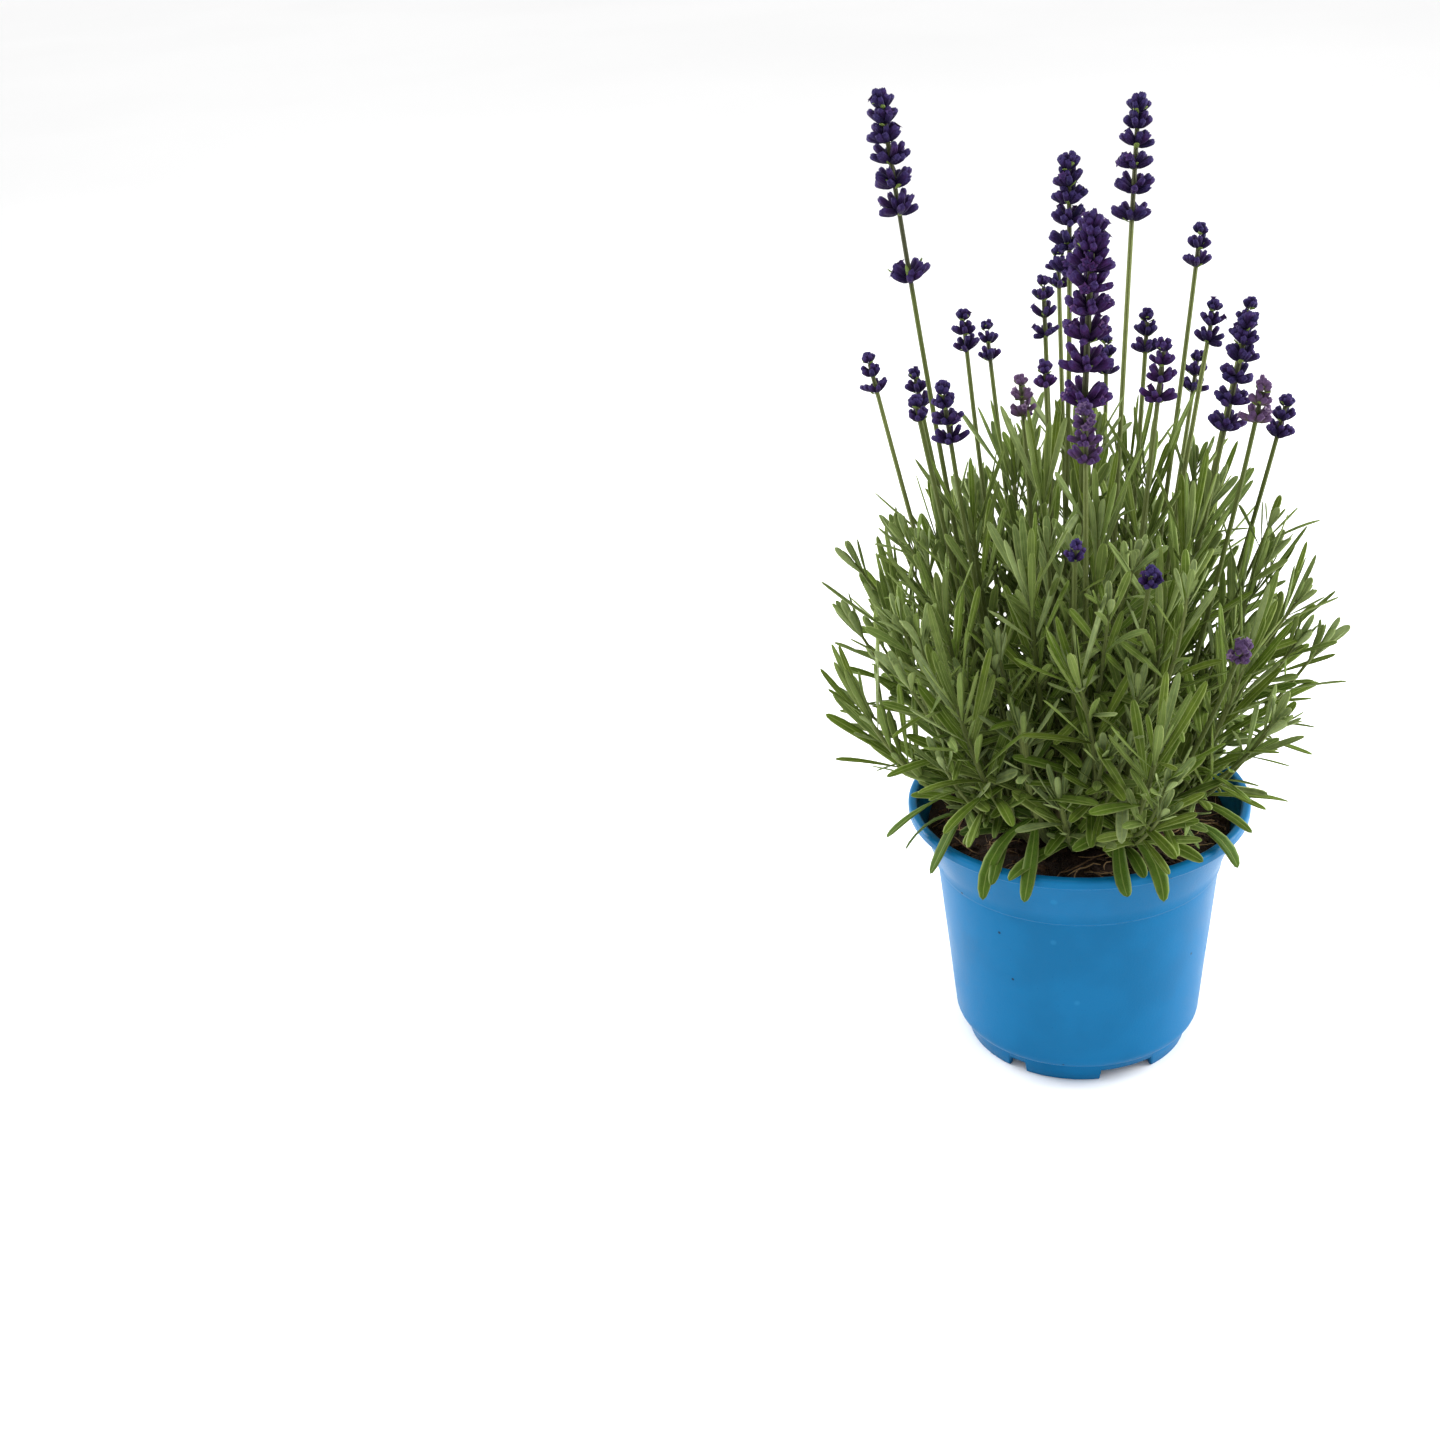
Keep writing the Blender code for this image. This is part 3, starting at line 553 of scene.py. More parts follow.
# %% [markdown]
# ## The peat
# Potting soil is peat: near-black crumbs with tan fibres, bits of bark and the odd pale grain. A flat disc
# would look like felt, so the surface is a height field, a low mound with lumps of three sizes, and loose
# crumbs and fibres lie on it. A crumb is a closed grid of only a few dozen faces, because there are
# hundreds of them.

# %% Peat surface
SOIL_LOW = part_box("potting_soil")[0].z
SOIL_DROP, SOIL_MOUND = 11 * MM, 3 * MM
SOIL_LEVEL = RIM_TOP - SOIL_DROP
SOIL_RADIUS = collar_radius(SOIL_LEVEL) - WALL - 0.3 * MM


def lumps(x, y, size, seed):
    """Smooth noise from -1 to 1: random heights on a square lattice, with a smooth step between them."""
    lattice = np.random.default_rng(seed).uniform(-1, 1, (64, 64))
    column, row = x / size, y / size
    i, j = np.floor(column).astype(int), np.floor(row).astype(int)
    s, t = column - i, row - j
    s, t = s * s * (3 - 2 * s), t * t * (3 - 2 * t)
    i, j, right_i, up_j = i % 64, j % 64, (i + 1) % 64, (j + 1) % 64
    low = lattice[i, j] * (1 - s) + lattice[right_i, j] * s
    high = lattice[i, up_j] * (1 - s) + lattice[right_i, up_j] * s
    return low * (1 - t) + high * t


def soil_height(x, y):
    """A mound that falls with the square of the radius, and lumps 9, 3.5 and 1.5 mm wide on it."""
    mound = SOIL_LEVEL + SOIL_MOUND * (1 - (np.hypot(x, y) / SOIL_RADIUS) ** 2)
    rough = 0.8 * lumps(x, y, 9 * MM, 1) + 0.6 * lumps(x, y, 3.5 * MM, 2) + 0.4 * lumps(x, y, 1.5 * MM, 3)
    return mound + rough * MM


peat, tree, shader, place, uv, looks = new_material("peat", Specular_IOR_Level=0.25)
crumb = use(tree, mottle, Vector=place, Patch_Scale=260.0, Grain_Scale=1500.0)
pale = use(tree, specks, Vector=place, Scale=420.0, Size=0.3, Share=0.05)
colour = mixed(tree, crumb["Patches"], srgb(24, 17, 13), srgb(52, 36, 26))
colour = mixed(tree, maths(tree, "MULTIPLY", crumb["Grain"], 0.4), colour, srgb(70, 48, 32))
colour = mixed(tree, maths(tree, "MULTIPLY", pale["Mask"], 0.6), colour, srgb(128, 104, 78))
colour = mixed(tree, looks["Red"], colour, srgb(92, 64, 40))
dull = maths(tree, "MULTIPLY_ADD", crumb["Grain"], 0.15, 0.82)
wire(tree, shader, colour, dull, crumb["Grain"], 0.4 * MM)

columns = np.arange(180) * 2 * math.pi / 180
share = np.linspace(1, 0.015, 46)
x, y = share[:, None] * SOIL_RADIUS * np.cos(columns), share[:, None] * SOIL_RADIUS * np.sin(columns)
top = np.stack([x, y, soil_height(x, y)], axis=-1)
side = [
    (BODY_LOW_RADIUS - WALL - CORNER - 0.4 * MM, SOIL_LOW),
    (BODY_LOW_RADIUS - WALL - 0.6 * MM, SOIL_LOW + 8 * MM),
    (BODY_TOP_RADIUS - WALL - 0.5 * MM, COLLAR_LOW),
    (SOIL_RADIUS - 0.2 * MM, SOIL_LEVEL - 3 * MM),
]
rings = [(r * np.cos(columns), r * np.sin(columns), z + 0 * columns) for r, z in side]
wall = np.array([np.stack(ring, axis=-1) for ring in rings])
peat_skin = skin(
    np.concatenate([wall, top])[None],
    np.array([(0, 0, SOIL_LOW)]),
    np.array([(0, 0, float(soil_height(np.zeros(1), np.zeros(1))[0]))]),
)
piece("peat", [peat_skin], [peat], "soil", "potting_soil")
print(f"peat surface: {len(columns)} columns round it, {len(side)} rows down its side")

# %% Crumbs, bark and fibres on the peat
def scattered(count, inner=8 * MM, outer=SOIL_RADIUS - 2 * MM):
    """Random places on the peat, spread evenly over its area."""
    radius = np.sqrt(chance.uniform(inner**2, outer**2, count))
    angle = chance.uniform(0, 2 * math.pi, count)
    x, y = radius * np.cos(angle), radius * np.sin(angle)
    return np.stack([x, y, soil_height(x, y)], axis=-1)


def pebbles(places, sizes, flatness, looks):
    """Lumps: balls whose points are moved in or out by up to 30%, flattened and turned at random."""
    rows, columns = 3, 6
    polar = (np.arange(rows) + 1) * math.pi / (rows + 1)
    turn = np.arange(columns) * 2 * math.pi / columns
    ball = np.stack(
        [
            np.sin(polar)[:, None] * np.cos(turn),
            np.sin(polar)[:, None] * np.sin(turn),
            np.cos(polar)[:, None] + 0 * turn,
        ],
        axis=-1,
    )
    count = len(places)
    rough = chance.uniform(0.7, 1.3, (count, rows, columns, 1))
    stretch = chance.uniform(0.7, 1.3, (count, 1, 1, 3)) * np.array((1, 1, flatness))
    grid = ball * rough * stretch * sizes[:, None, None, None]
    spin = chance.uniform(0, 2 * math.pi, count)[:, None, None]
    x = grid[..., 0] * np.cos(spin) - grid[..., 1] * np.sin(spin)
    y = grid[..., 0] * np.sin(spin) + grid[..., 1] * np.cos(spin)
    grid = np.stack([x, y, grid[..., 2]], axis=-1) + places[:, None, None]
    ends = stretch[:, 0, 0, 2] * sizes
    up = np.array((0, 0, 1))
    return skin(grid, places + up * ends[:, None], places - up * ends[:, None], look=looks)


count = 900
sizes = chance.lognormal(math.log(0.75 * MM), 0.4, count).clip(0.3 * MM, 1.9 * MM)
tints = chance.uniform(0, 1, (count, 1, 1, 1)) ** 5 * np.array((0.8, 0, 0))
crumbs = pebbles(scattered(count), sizes, 0.75, tints)
count = 70
chips = pebbles(scattered(count), chance.uniform(1.2, 2.6, count) * MM, 0.3, np.array((0.75, 0, 0)))
piece("peat_crumbs", [crumbs, chips], [peat], "soil")

fibre, tree, shader, place, uv, looks = new_material("plant_fibre", Specular_IOR_Level=0.3)
strand = use(tree, mottle, Vector=place, Patch_Scale=300.0, Grain_Scale=2600.0)
colour = mixed(tree, looks["Red"], srgb(96, 70, 44), srgb(178, 146, 104))
colour = mixed(tree, maths(tree, "MULTIPLY", strand["Grain"], 0.35), colour, srgb(60, 42, 28))
dull = maths(tree, "MULTIPLY_ADD", strand["Patches"], 0.2, 0.7)
wire(tree, shader, colour, dull, strand["Grain"], 0.05 * MM)

count = 130
middle = scattered(count, 20 * MM)
heading = chance.uniform(0, 2 * math.pi, count)
bow = chance.normal(0, 0.35, count)
reach = np.linspace(-1, 1, 6) * (chance.uniform(3, 9, count) * MM)[:, None]
x = middle[:, :1] + reach * np.cos(heading[:, None] + bow[:, None] * np.linspace(-1, 1, 6))
y = middle[:, 1:2] + reach * np.sin(heading[:, None] + bow[:, None] * np.linspace(-1, 1, 6))
inside = np.minimum(1, (SOIL_RADIUS - 1.5 * MM) / np.hypot(x, y))
x, y = x * inside, y * inside
paths = np.stack([x, y, soil_height(x, y) + 0.5 * MM + chance.uniform(0, 0.8, (count, 6)) * MM], axis=-1)
thick = chance.uniform(0.12, 0.32, (count, 1)) * MM * np.array((0.5, 0.9, 1, 1, 0.9, 0.4))
tan = chance.uniform(0, 1, (count, 1, 1, 1)) * np.array((1, 0, 0))
piece("peat_fibres", [tube(paths, thick, columns=5, reference=(0, 0, 1), look=tan)], [fibre], "soil")
print("peat, 970 crumbs and chips, 130 fibres")

# %% [markdown]
# ## Leaf, stem and bark finishes
# A lavender leaf is grey-green because fine hairs cover it. Young leaves are the most silvery, old ones low
# in the plant are darker and smoother, and their colour is made darker still as painted shade for the dim
# inside of the bush. The underside is paler. The midrib is sunken and light, and the rolled edges get thin
# pale lines, a painted highlight where they would catch the light. All of that follows the leaf, so it is
# read from the UV map, with the leaf's age, which also sets that painted shade, its own tint and its
# underside in the three looks. Stems share the colours, and turn woody low down.

# %% Leaf
leaf, tree, shader, place, uv, looks = new_material(
    "lavender_leaf", Specular_IOR_Level=0.10, Sheen_Weight=0.04, Sheen_Roughness=0.45
)
shader.inputs["Sheen Tint"].default_value = srgb(196, 208, 130)
blotch = use(tree, mottle, Vector=place, Patch_Scale=330.0, Grain_Scale=3200.0)
off_middle = maths(tree, "ABSOLUTE", maths(tree, "SUBTRACT", uv["X"], 0.5))
midrib = ramp(tree, off_middle, 0.015, 0.06, 1.0, 0.0)
# Thin pale lines along the rolled edges: a painted highlight, fainter on the old leaves.
edge_highlight = ramp(tree, off_middle, 0.38, 0.47)
pale = ramp(tree, looks["Red"], 0.0, 0.6, 0.35, 0.55)
# Old leaves low in the bush are darker: partly their real age, partly painted shade for the dim inside of the
# bush.
colour = mixed(tree, ramp(tree, looks["Red"], 0.0, 0.6), srgb(46, 74, 3), srgb(88, 106, 26))
colour = mixed(tree, ramp(tree, looks["Red"], 0.6, 1.0), colour, srgb(134, 148, 102))
colour = mixed(tree, maths(tree, "MULTIPLY", looks["Green"], 0.45), colour, srgb(74, 106, 12))
colour = mixed(tree, maths(tree, "MULTIPLY", blotch["Patches"], 0.30), colour, srgb(36, 56, 4))
colour = mixed(tree, maths(tree, "MULTIPLY", looks["Blue"], 0.40), colour, srgb(122, 138, 80))
colour = mixed(tree, maths(tree, "MULTIPLY", midrib, pale), colour, srgb(146, 160, 88))
colour = mixed(tree, maths(tree, "MULTIPLY", edge_highlight, pale), colour, srgb(160, 172, 104))
colour = mixed(tree, maths(tree, "MULTIPLY", blotch["Grain"], 0.10), colour, srgb(142, 154, 98))
dull = maths(tree, "MULTIPLY_ADD", looks["Red"], 0.16, 0.50)
dull = maths(tree, "MULTIPLY_ADD", blotch["Grain"], 0.10, dull)
wire(tree, shader, colour, dull, maths(tree, "MULTIPLY_ADD", midrib, -0.8, blotch["Grain"]), 0.05 * MM)
print(f"{leaf.name}: {len(leaf.node_tree.nodes)} nodes")

# %% Stem and bark
stem_skin, tree, shader, place, uv, looks = new_material(
    "lavender_stem", Specular_IOR_Level=0.12, Sheen_Weight=0.08, Sheen_Roughness=0.5
)
shader.inputs["Sheen Tint"].default_value = srgb(200, 210, 170)
fuzz = use(tree, mottle, Vector=place, Patch_Scale=260.0, Grain_Scale=2800.0)
groove = use(tree, ribs, Across=uv["X"], Count=8.0)
colour = mixed(tree, looks["Green"], srgb(78, 90, 36), srgb(118, 128, 72))
colour = mixed(tree, maths(tree, "MULTIPLY", groove["Height"], 0.35), colour, srgb(60, 72, 26))
colour = mixed(tree, maths(tree, "MULTIPLY", fuzz["Patches"], 0.25), colour, srgb(74, 80, 42))
woody = mixed(tree, fuzz["Grain"], srgb(86, 76, 44), srgb(130, 118, 78))
colour = mixed(tree, looks["Red"], colour, woody)
colour = mixed(tree, looks["Blue"], colour, srgb(48, 38, 46))
dull = maths(tree, "MULTIPLY_ADD", fuzz["Grain"], 0.15, 0.58)
height = maths(tree, "MULTIPLY_ADD", groove["Height"], -1.0, fuzz["Grain"])
wire(tree, shader, colour, dull, height, 0.12 * MM)

bark, tree, shader, place, uv, looks = new_material("old_bark", Specular_IOR_Level=0.2)
flake = use(tree, mottle, Vector=place, Patch_Scale=240.0, Grain_Scale=1400.0)
crack = use(tree, ribs, Across=maths(tree, "MULTIPLY_ADD", flake["Patches"], 0.12, uv["X"]), Count=11.0)
colour = mixed(tree, flake["Patches"], srgb(94, 76, 54), srgb(136, 116, 88))
colour = mixed(tree, maths(tree, "MULTIPLY", crack["Height"], 0.6), colour, srgb(48, 36, 26))
dull = maths(tree, "MULTIPLY_ADD", flake["Grain"], 0.15, 0.78)
wire(tree, shader, colour, dull, maths(tree, "MULTIPLY_ADD", crack["Height"], -1.0, flake["Grain"]), 0.5 * MM)
print(f"{stem_skin.name} and {bark.name}: {len(bark.node_tree.nodes)} nodes in the second")

# %% [markdown]
# ## The woody crown
# All stems rise from one short stump. It hides under the leaves, but shows from low down. Its grid is a
# column whose radius swells at the foot and whose sides are pushed in and out by three and by seven waves
# round it, so that it looks twisted and grown rather than turned.

# %% Crown
crown_low, crown_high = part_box("woody_crown")
rows, columns = np.linspace(0, 1, 22), np.arange(30) * 2 * math.pi / 30
waist = 1 - 0.35 * np.sin(math.pi * rows) ** 0.8 * 0.6 - 0.35 * rows**3
knots = 1 + 0.10 * np.sin(3 * columns + 4 * rows[:, None]) + 0.06 * np.sin(7 * columns - 9 * rows[:, None])
radius = (crown_high.x - crown_low.x) / 2 * 0.95 * waist[:, None] * knots
height = crown_low.z - 1 * MM + (crown_high.z - crown_low.z) * rows[:, None]
grid = np.stack([radius * np.cos(columns), radius * np.sin(columns), height + 0 * radius], axis=-1)
stump = skin(grid[None], grid[None, 0].mean(axis=1), grid[None, -1].mean(axis=1) + (0, 0, 1.5 * MM))
piece("woody_crown_bark", [stump], [bark], "bark", "woody_crown")
print("woody_crown_bark stands on the peat, under the leaves")

# %% [markdown]
# ## A leaf
# Cut across, the leaf is a thin lens: the upper side dips at the midrib, the edges roll down, and the
# midrib stands out below. Along its length it starts as a narrow stalk, is widest past the middle and ends
# in a blunt round tip. So a leaf is a short grid of eight columns round that section, carried along a bent
# line through its foot, its widest place and its tip. Hundreds of them are made at once.

# %% Leaves
LEAF_ALONG = np.array((0, 0.05, 0.16, 0.30, 0.46, 0.62, 0.78, 0.90, 0.97))
LEAF_ACROSS = np.array((-1, -0.5, 0, 0.5, 1, 0.55, 0, -0.55))
LEAF_LIFT = np.array((-0.35, 0.5, 0.0, 0.5, -0.35, -0.55, -1.1, -0.55))
LEAF_UNDER = np.array((0.4, 0, 0, 0, 0.4, 1, 1, 1))
WIDEST_AT = 0.55


def leaf_half_width(along):
    """The half width's share of the widest: a quarter sine up to 0.64, then an ellipse's end from 0.74 on."""
    rise = 0.28 + 0.72 * np.sin(math.pi / 2 * np.clip(along / 0.64, 0, 1)) ** 1.3
    return rise * np.sqrt(1 - np.clip((along - 0.74) / 0.26, 0, 1) ** 2.2)


def leaf_skins(leaves, finish=0):
    """Grids for many leaves, from a dict of arrays with one row for each leaf.

    The line is the quadratic curve through foot, middle and tip. At each of its points the section's columns go
    across along the leaf's flat side and lift along its upper side, both turned by the twist as it goes.
    """
    t = LEAF_ALONG[:, None]
    foot, middle, tip = (leaves[k][:, None] for k in ("foot", "middle", "tip"))
    share = WIDEST_AT
    pull = (middle - (1 - share) ** 2 * foot - share**2 * tip) / (2 * share * (1 - share))
    line = (1 - t) ** 2 * foot + 2 * t * (1 - t) * pull + t**2 * tip
    ahead = unit(2 * (1 - t) * (pull - foot) + 2 * t * (tip - pull))
    flat = unit(leaves["flat"][:, None] - ahead * (leaves["flat"][:, None] * ahead).sum(axis=-1, keepdims=True))
    up = np.cross(flat, ahead)
    away = (up[:, 4:5] * leaves["upper"][:, None]).sum(axis=-1, keepdims=True) < 0
    flat, up = np.where(away, -flat, flat), np.where(away, -up, up)
    turn = leaves["twist"][:, None, None] * (t - 0.15)
    flat, up = np.cos(turn) * flat + np.sin(turn) * up, np.cos(turn) * up - np.sin(turn) * flat
    half = leaves["width"][:, None] / 2 * leaf_half_width(LEAF_ALONG)
    thick = half * 0.17 + 0.10 * MM
    fold = leaves["fold"][:, None, None] * np.abs(LEAF_ACROSS) ** 1.3 * half[..., None]
    rise = LEAF_LIFT * thick[..., None] + fold
    rings = line[:, :, None] + flat[:, :, None] * (LEAF_ACROSS * half[..., None])[..., None]
    rings = rings + up[:, :, None] * rise[..., None]
    shape = rings.shape[:3]
    look = np.stack([np.broadcast_to(leaves["youth"][:, None, None], shape),
                     np.broadcast_to(leaves["tint"][:, None, None], shape),
                     np.broadcast_to(LEAF_UNDER, shape)], axis=-1)
    start = leaves["foot"] - ahead[:, 0] * 0.3 * MM
    return skin(rings, start, leaves["tip"], look, (LEAF_ACROSS + 1) / 2, LEAF_ALONG, finish)


def joined(groups):
    """Several dicts of leaf arrays as one."""
    return {key: np.concatenate([group[key] for group in groups]) for key in groups[0]}


def chosen(leaves, keep):
    return {key: values[keep] for key, values in leaves.items()}


shares = np.linspace(0, 1, 101)
print(f"a leaf is widest at {shares[leaf_half_width(shares).argmax()]:.2f} of its length")

# %% [markdown]
# ## Where leaves grow
# Lavender sets its leaves in pairs, each pair a quarter turn on from the last. Low leaves spread and droop,
# the youngest stand up round the shoot's tip, and in most leaf joints a tuft of small leaves has started.
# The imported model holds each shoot's line and its large leaves. The pairs between them, the tufts and the
# side shoots are grown here by the same rule, and a leaf that would cut the pot's rim, leave the bush's
# outline or cover the open peat at its two sides is left out.

# %% Pairs of leaves along a shoot
BUSH_HEIGHTS = np.array((100, 112, 130, 150, 170, 190, 220, 245, 262, 275, 286)) * MM
BUSH_RADII = np.array((74, 82, 94, 100, 100, 95, 84, 72, 60, 40, 10)) * MM
OPEN_SIDES, OPEN_HALF_WIDTH, OPEN_BELOW = (0.0, math.pi), math.radians(24), RIM_TOP + 20 * MM


def along_path(path, shares):
    """Places and directions at some shares of the way along a path of even steps."""
    at = np.asarray(shares) * (len(path) - 1)
    low = np.clip(at.astype(int), 0, len(path) - 2)
    part = (at - low)[:, None]
    return path[low] * (1 - part) + path[low + 1] * part, unit(path[low + 1] - path[low])


def paired(path, shares, length, spread, turn, width=3.8 * MM, droop=0.0, youth=0.5):
    """Leaf arrays for pairs at these shares of a path; length, spread, width and youth may differ for each pair.

    A leaf's line leaves the stem at the spread angle, and past its middle it bends down by its droop.
    """
    place, ahead = along_path(path, shares)
    pairs = len(place)
    side = unit(np.cross(ahead, (0.3, 1.0, 0.2)))
    other = np.cross(ahead, side)
    angle = turn + np.arange(pairs) * math.pi / 2 + chance.normal(0, 0.18, pairs)
    groups = []
    for half_turn in (0, math.pi):
        a = (angle + half_turn + chance.normal(0, 0.12, pairs))[:, None]
        out = np.cos(a) * side + np.sin(a) * other
        tilt = (spread + chance.normal(0, 0.11, pairs))[:, None]
        long = (length * chance.uniform(0.86, 1.14, pairs))[:, None]
        rising = ahead * np.cos(tilt) + out * np.sin(tilt)
        foot = place + out * 0.6 * MM
        middle = foot + rising * long * WIDEST_AT
        bent = unit(rising + np.array((0, 0, 1)) * (chance.normal(0, 0.07, pairs) - droop)[:, None])
        groups.append({
            "foot": foot,
            "middle": middle,
            "tip": middle + bent * long * (1 - WIDEST_AT),
            "flat": np.cross(ahead, out),
            "upper": ahead + 0.001,
            "width": width * chance.uniform(0.85, 1.12, pairs),
            "fold": chance.uniform(0.05, 0.38, pairs),
            "twist": chance.normal(0, 0.35, pairs),
            "youth": np.clip(youth + chance.normal(0, 0.12, pairs), 0, 1),
            "tint": chance.uniform(0, 1, pairs),
        })
    return joined(groups)


def fitting(leaves):
    """True for each leaf inside the bush's outline and clear of the rim, the peat and its open sides."""
    tip, middle = leaves["tip"], leaves["middle"]
    reach = np.hypot(tip[:, 0], tip[:, 1])
    good = reach < np.interp(tip[:, 2], BUSH_HEIGHTS, BUSH_RADII)
    good &= tip[:, 2] < BUSH_HEIGHTS[-1]
    bearing = np.arctan2(tip[:, 1], tip[:, 0])
    for side in OPEN_SIDES:
        off = np.abs((bearing - side + math.pi) % (2 * math.pi) - math.pi)
        good &= (off > OPEN_HALF_WIDTH) | (tip[:, 2] > OPEN_BELOW) | (reach < 38 * MM)
    near_foot = leaves["foot"] * 0.3 + middle * 0.7
    near_tip = middle + (tip - middle) * 0.4
    for spot in (near_foot, near_tip, tip):
        away = np.hypot(spot[:, 0], spot[:, 1])
        over_lip = (away > RIM_RADIUS - 8 * MM) & (away < RIM_RADIUS + 4 * MM)
        on_rim = over_lip & (spot[:, 2] < RIM_TOP + 1.5 * MM)
        outside_low = (away > RIM_RADIUS + 4 * MM) & (spot[:, 2] < RIM_TOP - 3 * MM)
        good &= ~on_rim & ~outside_low & (spot[:, 2] > SOIL_LEVEL + 3 * MM)
    return good


widest = BUSH_RADII.argmax()
print(f"the bush is {2 * BUSH_RADII[widest] / MM:.0f} mm across, {BUSH_HEIGHTS[widest] / MM:.0f} mm up")


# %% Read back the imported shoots
def shoot_parts(node):
    """A packed shoot's stem line and its large leaves: their feet, middles, tips and flat sides.

    Only the ends of the stem and the tips of leaves have four neighbours. A tip lies more than 8 mm beyond its
    four, and those four are the corners of the leaf's widest place.
    """
    points, touch = solid(node)
    ends = np.flatnonzero(touch.sum(axis=1) == 4)
    four = np.stack([np.flatnonzero(touch[end]) for end in ends])
    beyond = np.linalg.norm(points[ends] - points[four].mean(axis=1), axis=1)
    tips, corners = ends[beyond > 8 * MM], four[beyond > 8 * MM]
    stem = np.ones(len(points), bool)
    stem[tips] = stem[corners.ravel()] = False
    bottom = ends[points[ends, 2].argmin()]
    line = np.stack([points[ring].mean(axis=0) for ring in layers(touch, bottom, stem)])
    feet = np.stack([points[touch[four].any(axis=0) & stem].mean(axis=0) for four in corners])
    wide = points[corners] - points[corners[:, :1]]
    second = np.linalg.norm(wide, axis=-1).argsort(axis=1)[:, 2]
    flat = wide[np.arange(len(tips)), second]
    return line, feet, points[corners].mean(axis=1), points[tips], flat


SHOOTS = sorted(name for name in NODES if name.startswith("leafy_shoot"))
line, feet, *_ = shoot_parts(SHOOTS[0])
print(f"{SHOOTS[0]}: {len(line)} places along its stem, {len(feet)} large leaves")


# %% Grow the shoots
def large_leaves(line, feet, middles, tips, flat):
    """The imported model's own leaves as leaf arrays, older the lower they grow."""
    count = len(feet)
    height = np.clip((feet[:, 2] - line[0, 2]) / (line[-1, 2] - line[0, 2]), 0, 1)
    nearest = np.linalg.norm(feet[:, None] - line[None], axis=-1).argmin(axis=1).clip(1, len(line) - 1)
    return {
        "foot": feet,
        "middle": middles,
        "tip": tips,
        "flat": flat,
        "upper": unit(line[nearest] - line[nearest - 1]),
        "width": (5.0 - 1.5 * height) * MM * chance.uniform(0.88, 1.12, count),
        "fold": chance.uniform(0.05, 0.35, count),
        "twist": chance.normal(0, 0.3, count),
        "youth": np.clip(0.18 + 0.6 * height + chance.normal(0, 0.12, count), 0, 1),
        "tint": chance.uniform(0, 1, count),
    }


def stem_tube(path, foot_radius, top_radius, woody=0.0, purple=0.0):
    """A square stem that narrows as it rises. Its look turns from woody to green over its lowest quarter."""
    rows = np.linspace(0, 1, len(path))
    radius = foot_radius + (top_radius - foot_radius) * rows
    old = woody * np.clip(1 - rows / 0.28, 0, 1)
    look = np.stack([old, 0 * rows + chance.uniform(0, 1), 0 * rows + purple], axis=-1)[None, :, None]
    return tube(path[None], radius[None], square=0.10, look=look, finish=1)


def tufts(path, youth, spread=0.30, lengths=(15, 12, 8)):
    """The youngest leaves: three close pairs that stand up round a shoot's tip."""
    turn = chance.uniform(0, math.pi)
    return paired(path, (0.95, 0.985, 1.0), np.array(lengths) * MM, spread, turn, 2.6 * MM, -0.1, youth)


def side_shoot(root, ahead, length):
    """A short shoot that leaves its parent outwards and bends up, with leaves down to its foot."""
    outward = unit(np.array((root[0], root[1], 0)) + chance.normal(0, 0.022, 3) * (1, 1, 0))
    lean = chance.uniform(0.35, 0.75)
    end = root + (outward * lean + ahead * 0.8 + np.array((0, 0, 0.35))) * length * 0.8
    bend = root + (outward * 0.5 + ahead * 0.35) * length * 0.5
    t = np.linspace(0, 1, 14)[:, None]
    path = (1 - t) ** 2 * root + 2 * t * (1 - t) * bend + t**2 * end
    pairs = 5
    shares = np.linspace(0.26, 0.93, pairs)
    lengths = np.linspace(29, 19, pairs) * MM * (0.6 + 0.4 * length / (70 * MM))
    youth = 0.45 + 0.4 * shares
    spread = np.linspace(1.0, 0.5, pairs)
    leaves = paired(path, shares, lengths, spread, chance.uniform(0, math.pi), 3.3 * MM, 0.1, youth)
    return path, joined([leaves, tufts(path, 0.9)])


total = 0
for name in SHOOTS:
    line, feet, middles, tips, flat = shoot_parts(name)
    path = smooth_path(line, 40)
    shares = np.linspace(0.17, 0.92, 7)
    length = np.array((32, 34, 36, 36, 35, 33, 31)) * MM
    spread = np.linspace(1.1, 0.36, 7)
    between = paired(
        path,
        shares,
        length,
        spread,
        chance.uniform(0, math.pi),
        np.linspace(4.8, 3.2, 7) * MM,
        np.linspace(0.35, -0.1, 7),
        0.15 + 0.6 * shares,
    )
    length = chance.uniform(9, 17, 7) * MM
    turn = chance.uniform(0, math.pi)
    axils = paired(path, shares + 0.02, length, 0.55, turn, 2.2 * MM, 0.0, 0.75)
    extra = [between, axils, tufts(path, 0.7, 0.22, (37, 30, 18))]
    stems = [stem_tube(path, 1.35 * MM, 0.75 * MM, 1.0)]
    for share in (0.16, 0.3, 0.46, 0.62):
        root, ahead = along_path(path, [share + chance.uniform(-0.05, 0.05)])
        branch, leaves = side_shoot(root[0], ahead[0], chance.uniform(42, 74) * MM)
        if np.hypot(*branch[-1, :2]) < np.interp(branch[-1, 2], BUSH_HEIGHTS, BUSH_RADII) - 8 * MM:
            stems.append(stem_tube(branch, 0.85 * MM, 0.5 * MM))
            extra.append(leaves)
    extra = joined(extra)
    leaves = joined([large_leaves(line, feet, middles, tips, flat), chosen(extra, fitting(extra))])
    total += len(leaves["foot"])
    piece(name + "_grown", [leaf_skins(leaves), *stems], [leaf, stem_skin], "leaf", name)
print(f"{len(SHOOTS)} shoots carry {total} leaves")

# %% [markdown]
# ## Low shoots over the rim
# An older lavender pushes short shoots from the foot of its stump. They have no room to rise, so they run
# out over the peat to the pot's lip and turn up there. Their broad old leaves arch over the lip and hang
# beside the collar, while the young leaves at the tip are small and silvery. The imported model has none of
# these shoots. They could be copies of a long shoot made small, but their leaves would then be too thin and
# too many. Here each one is a path of its own with the same pairs of leaves on it, and its hanging leaves
# are arcs over the lip.

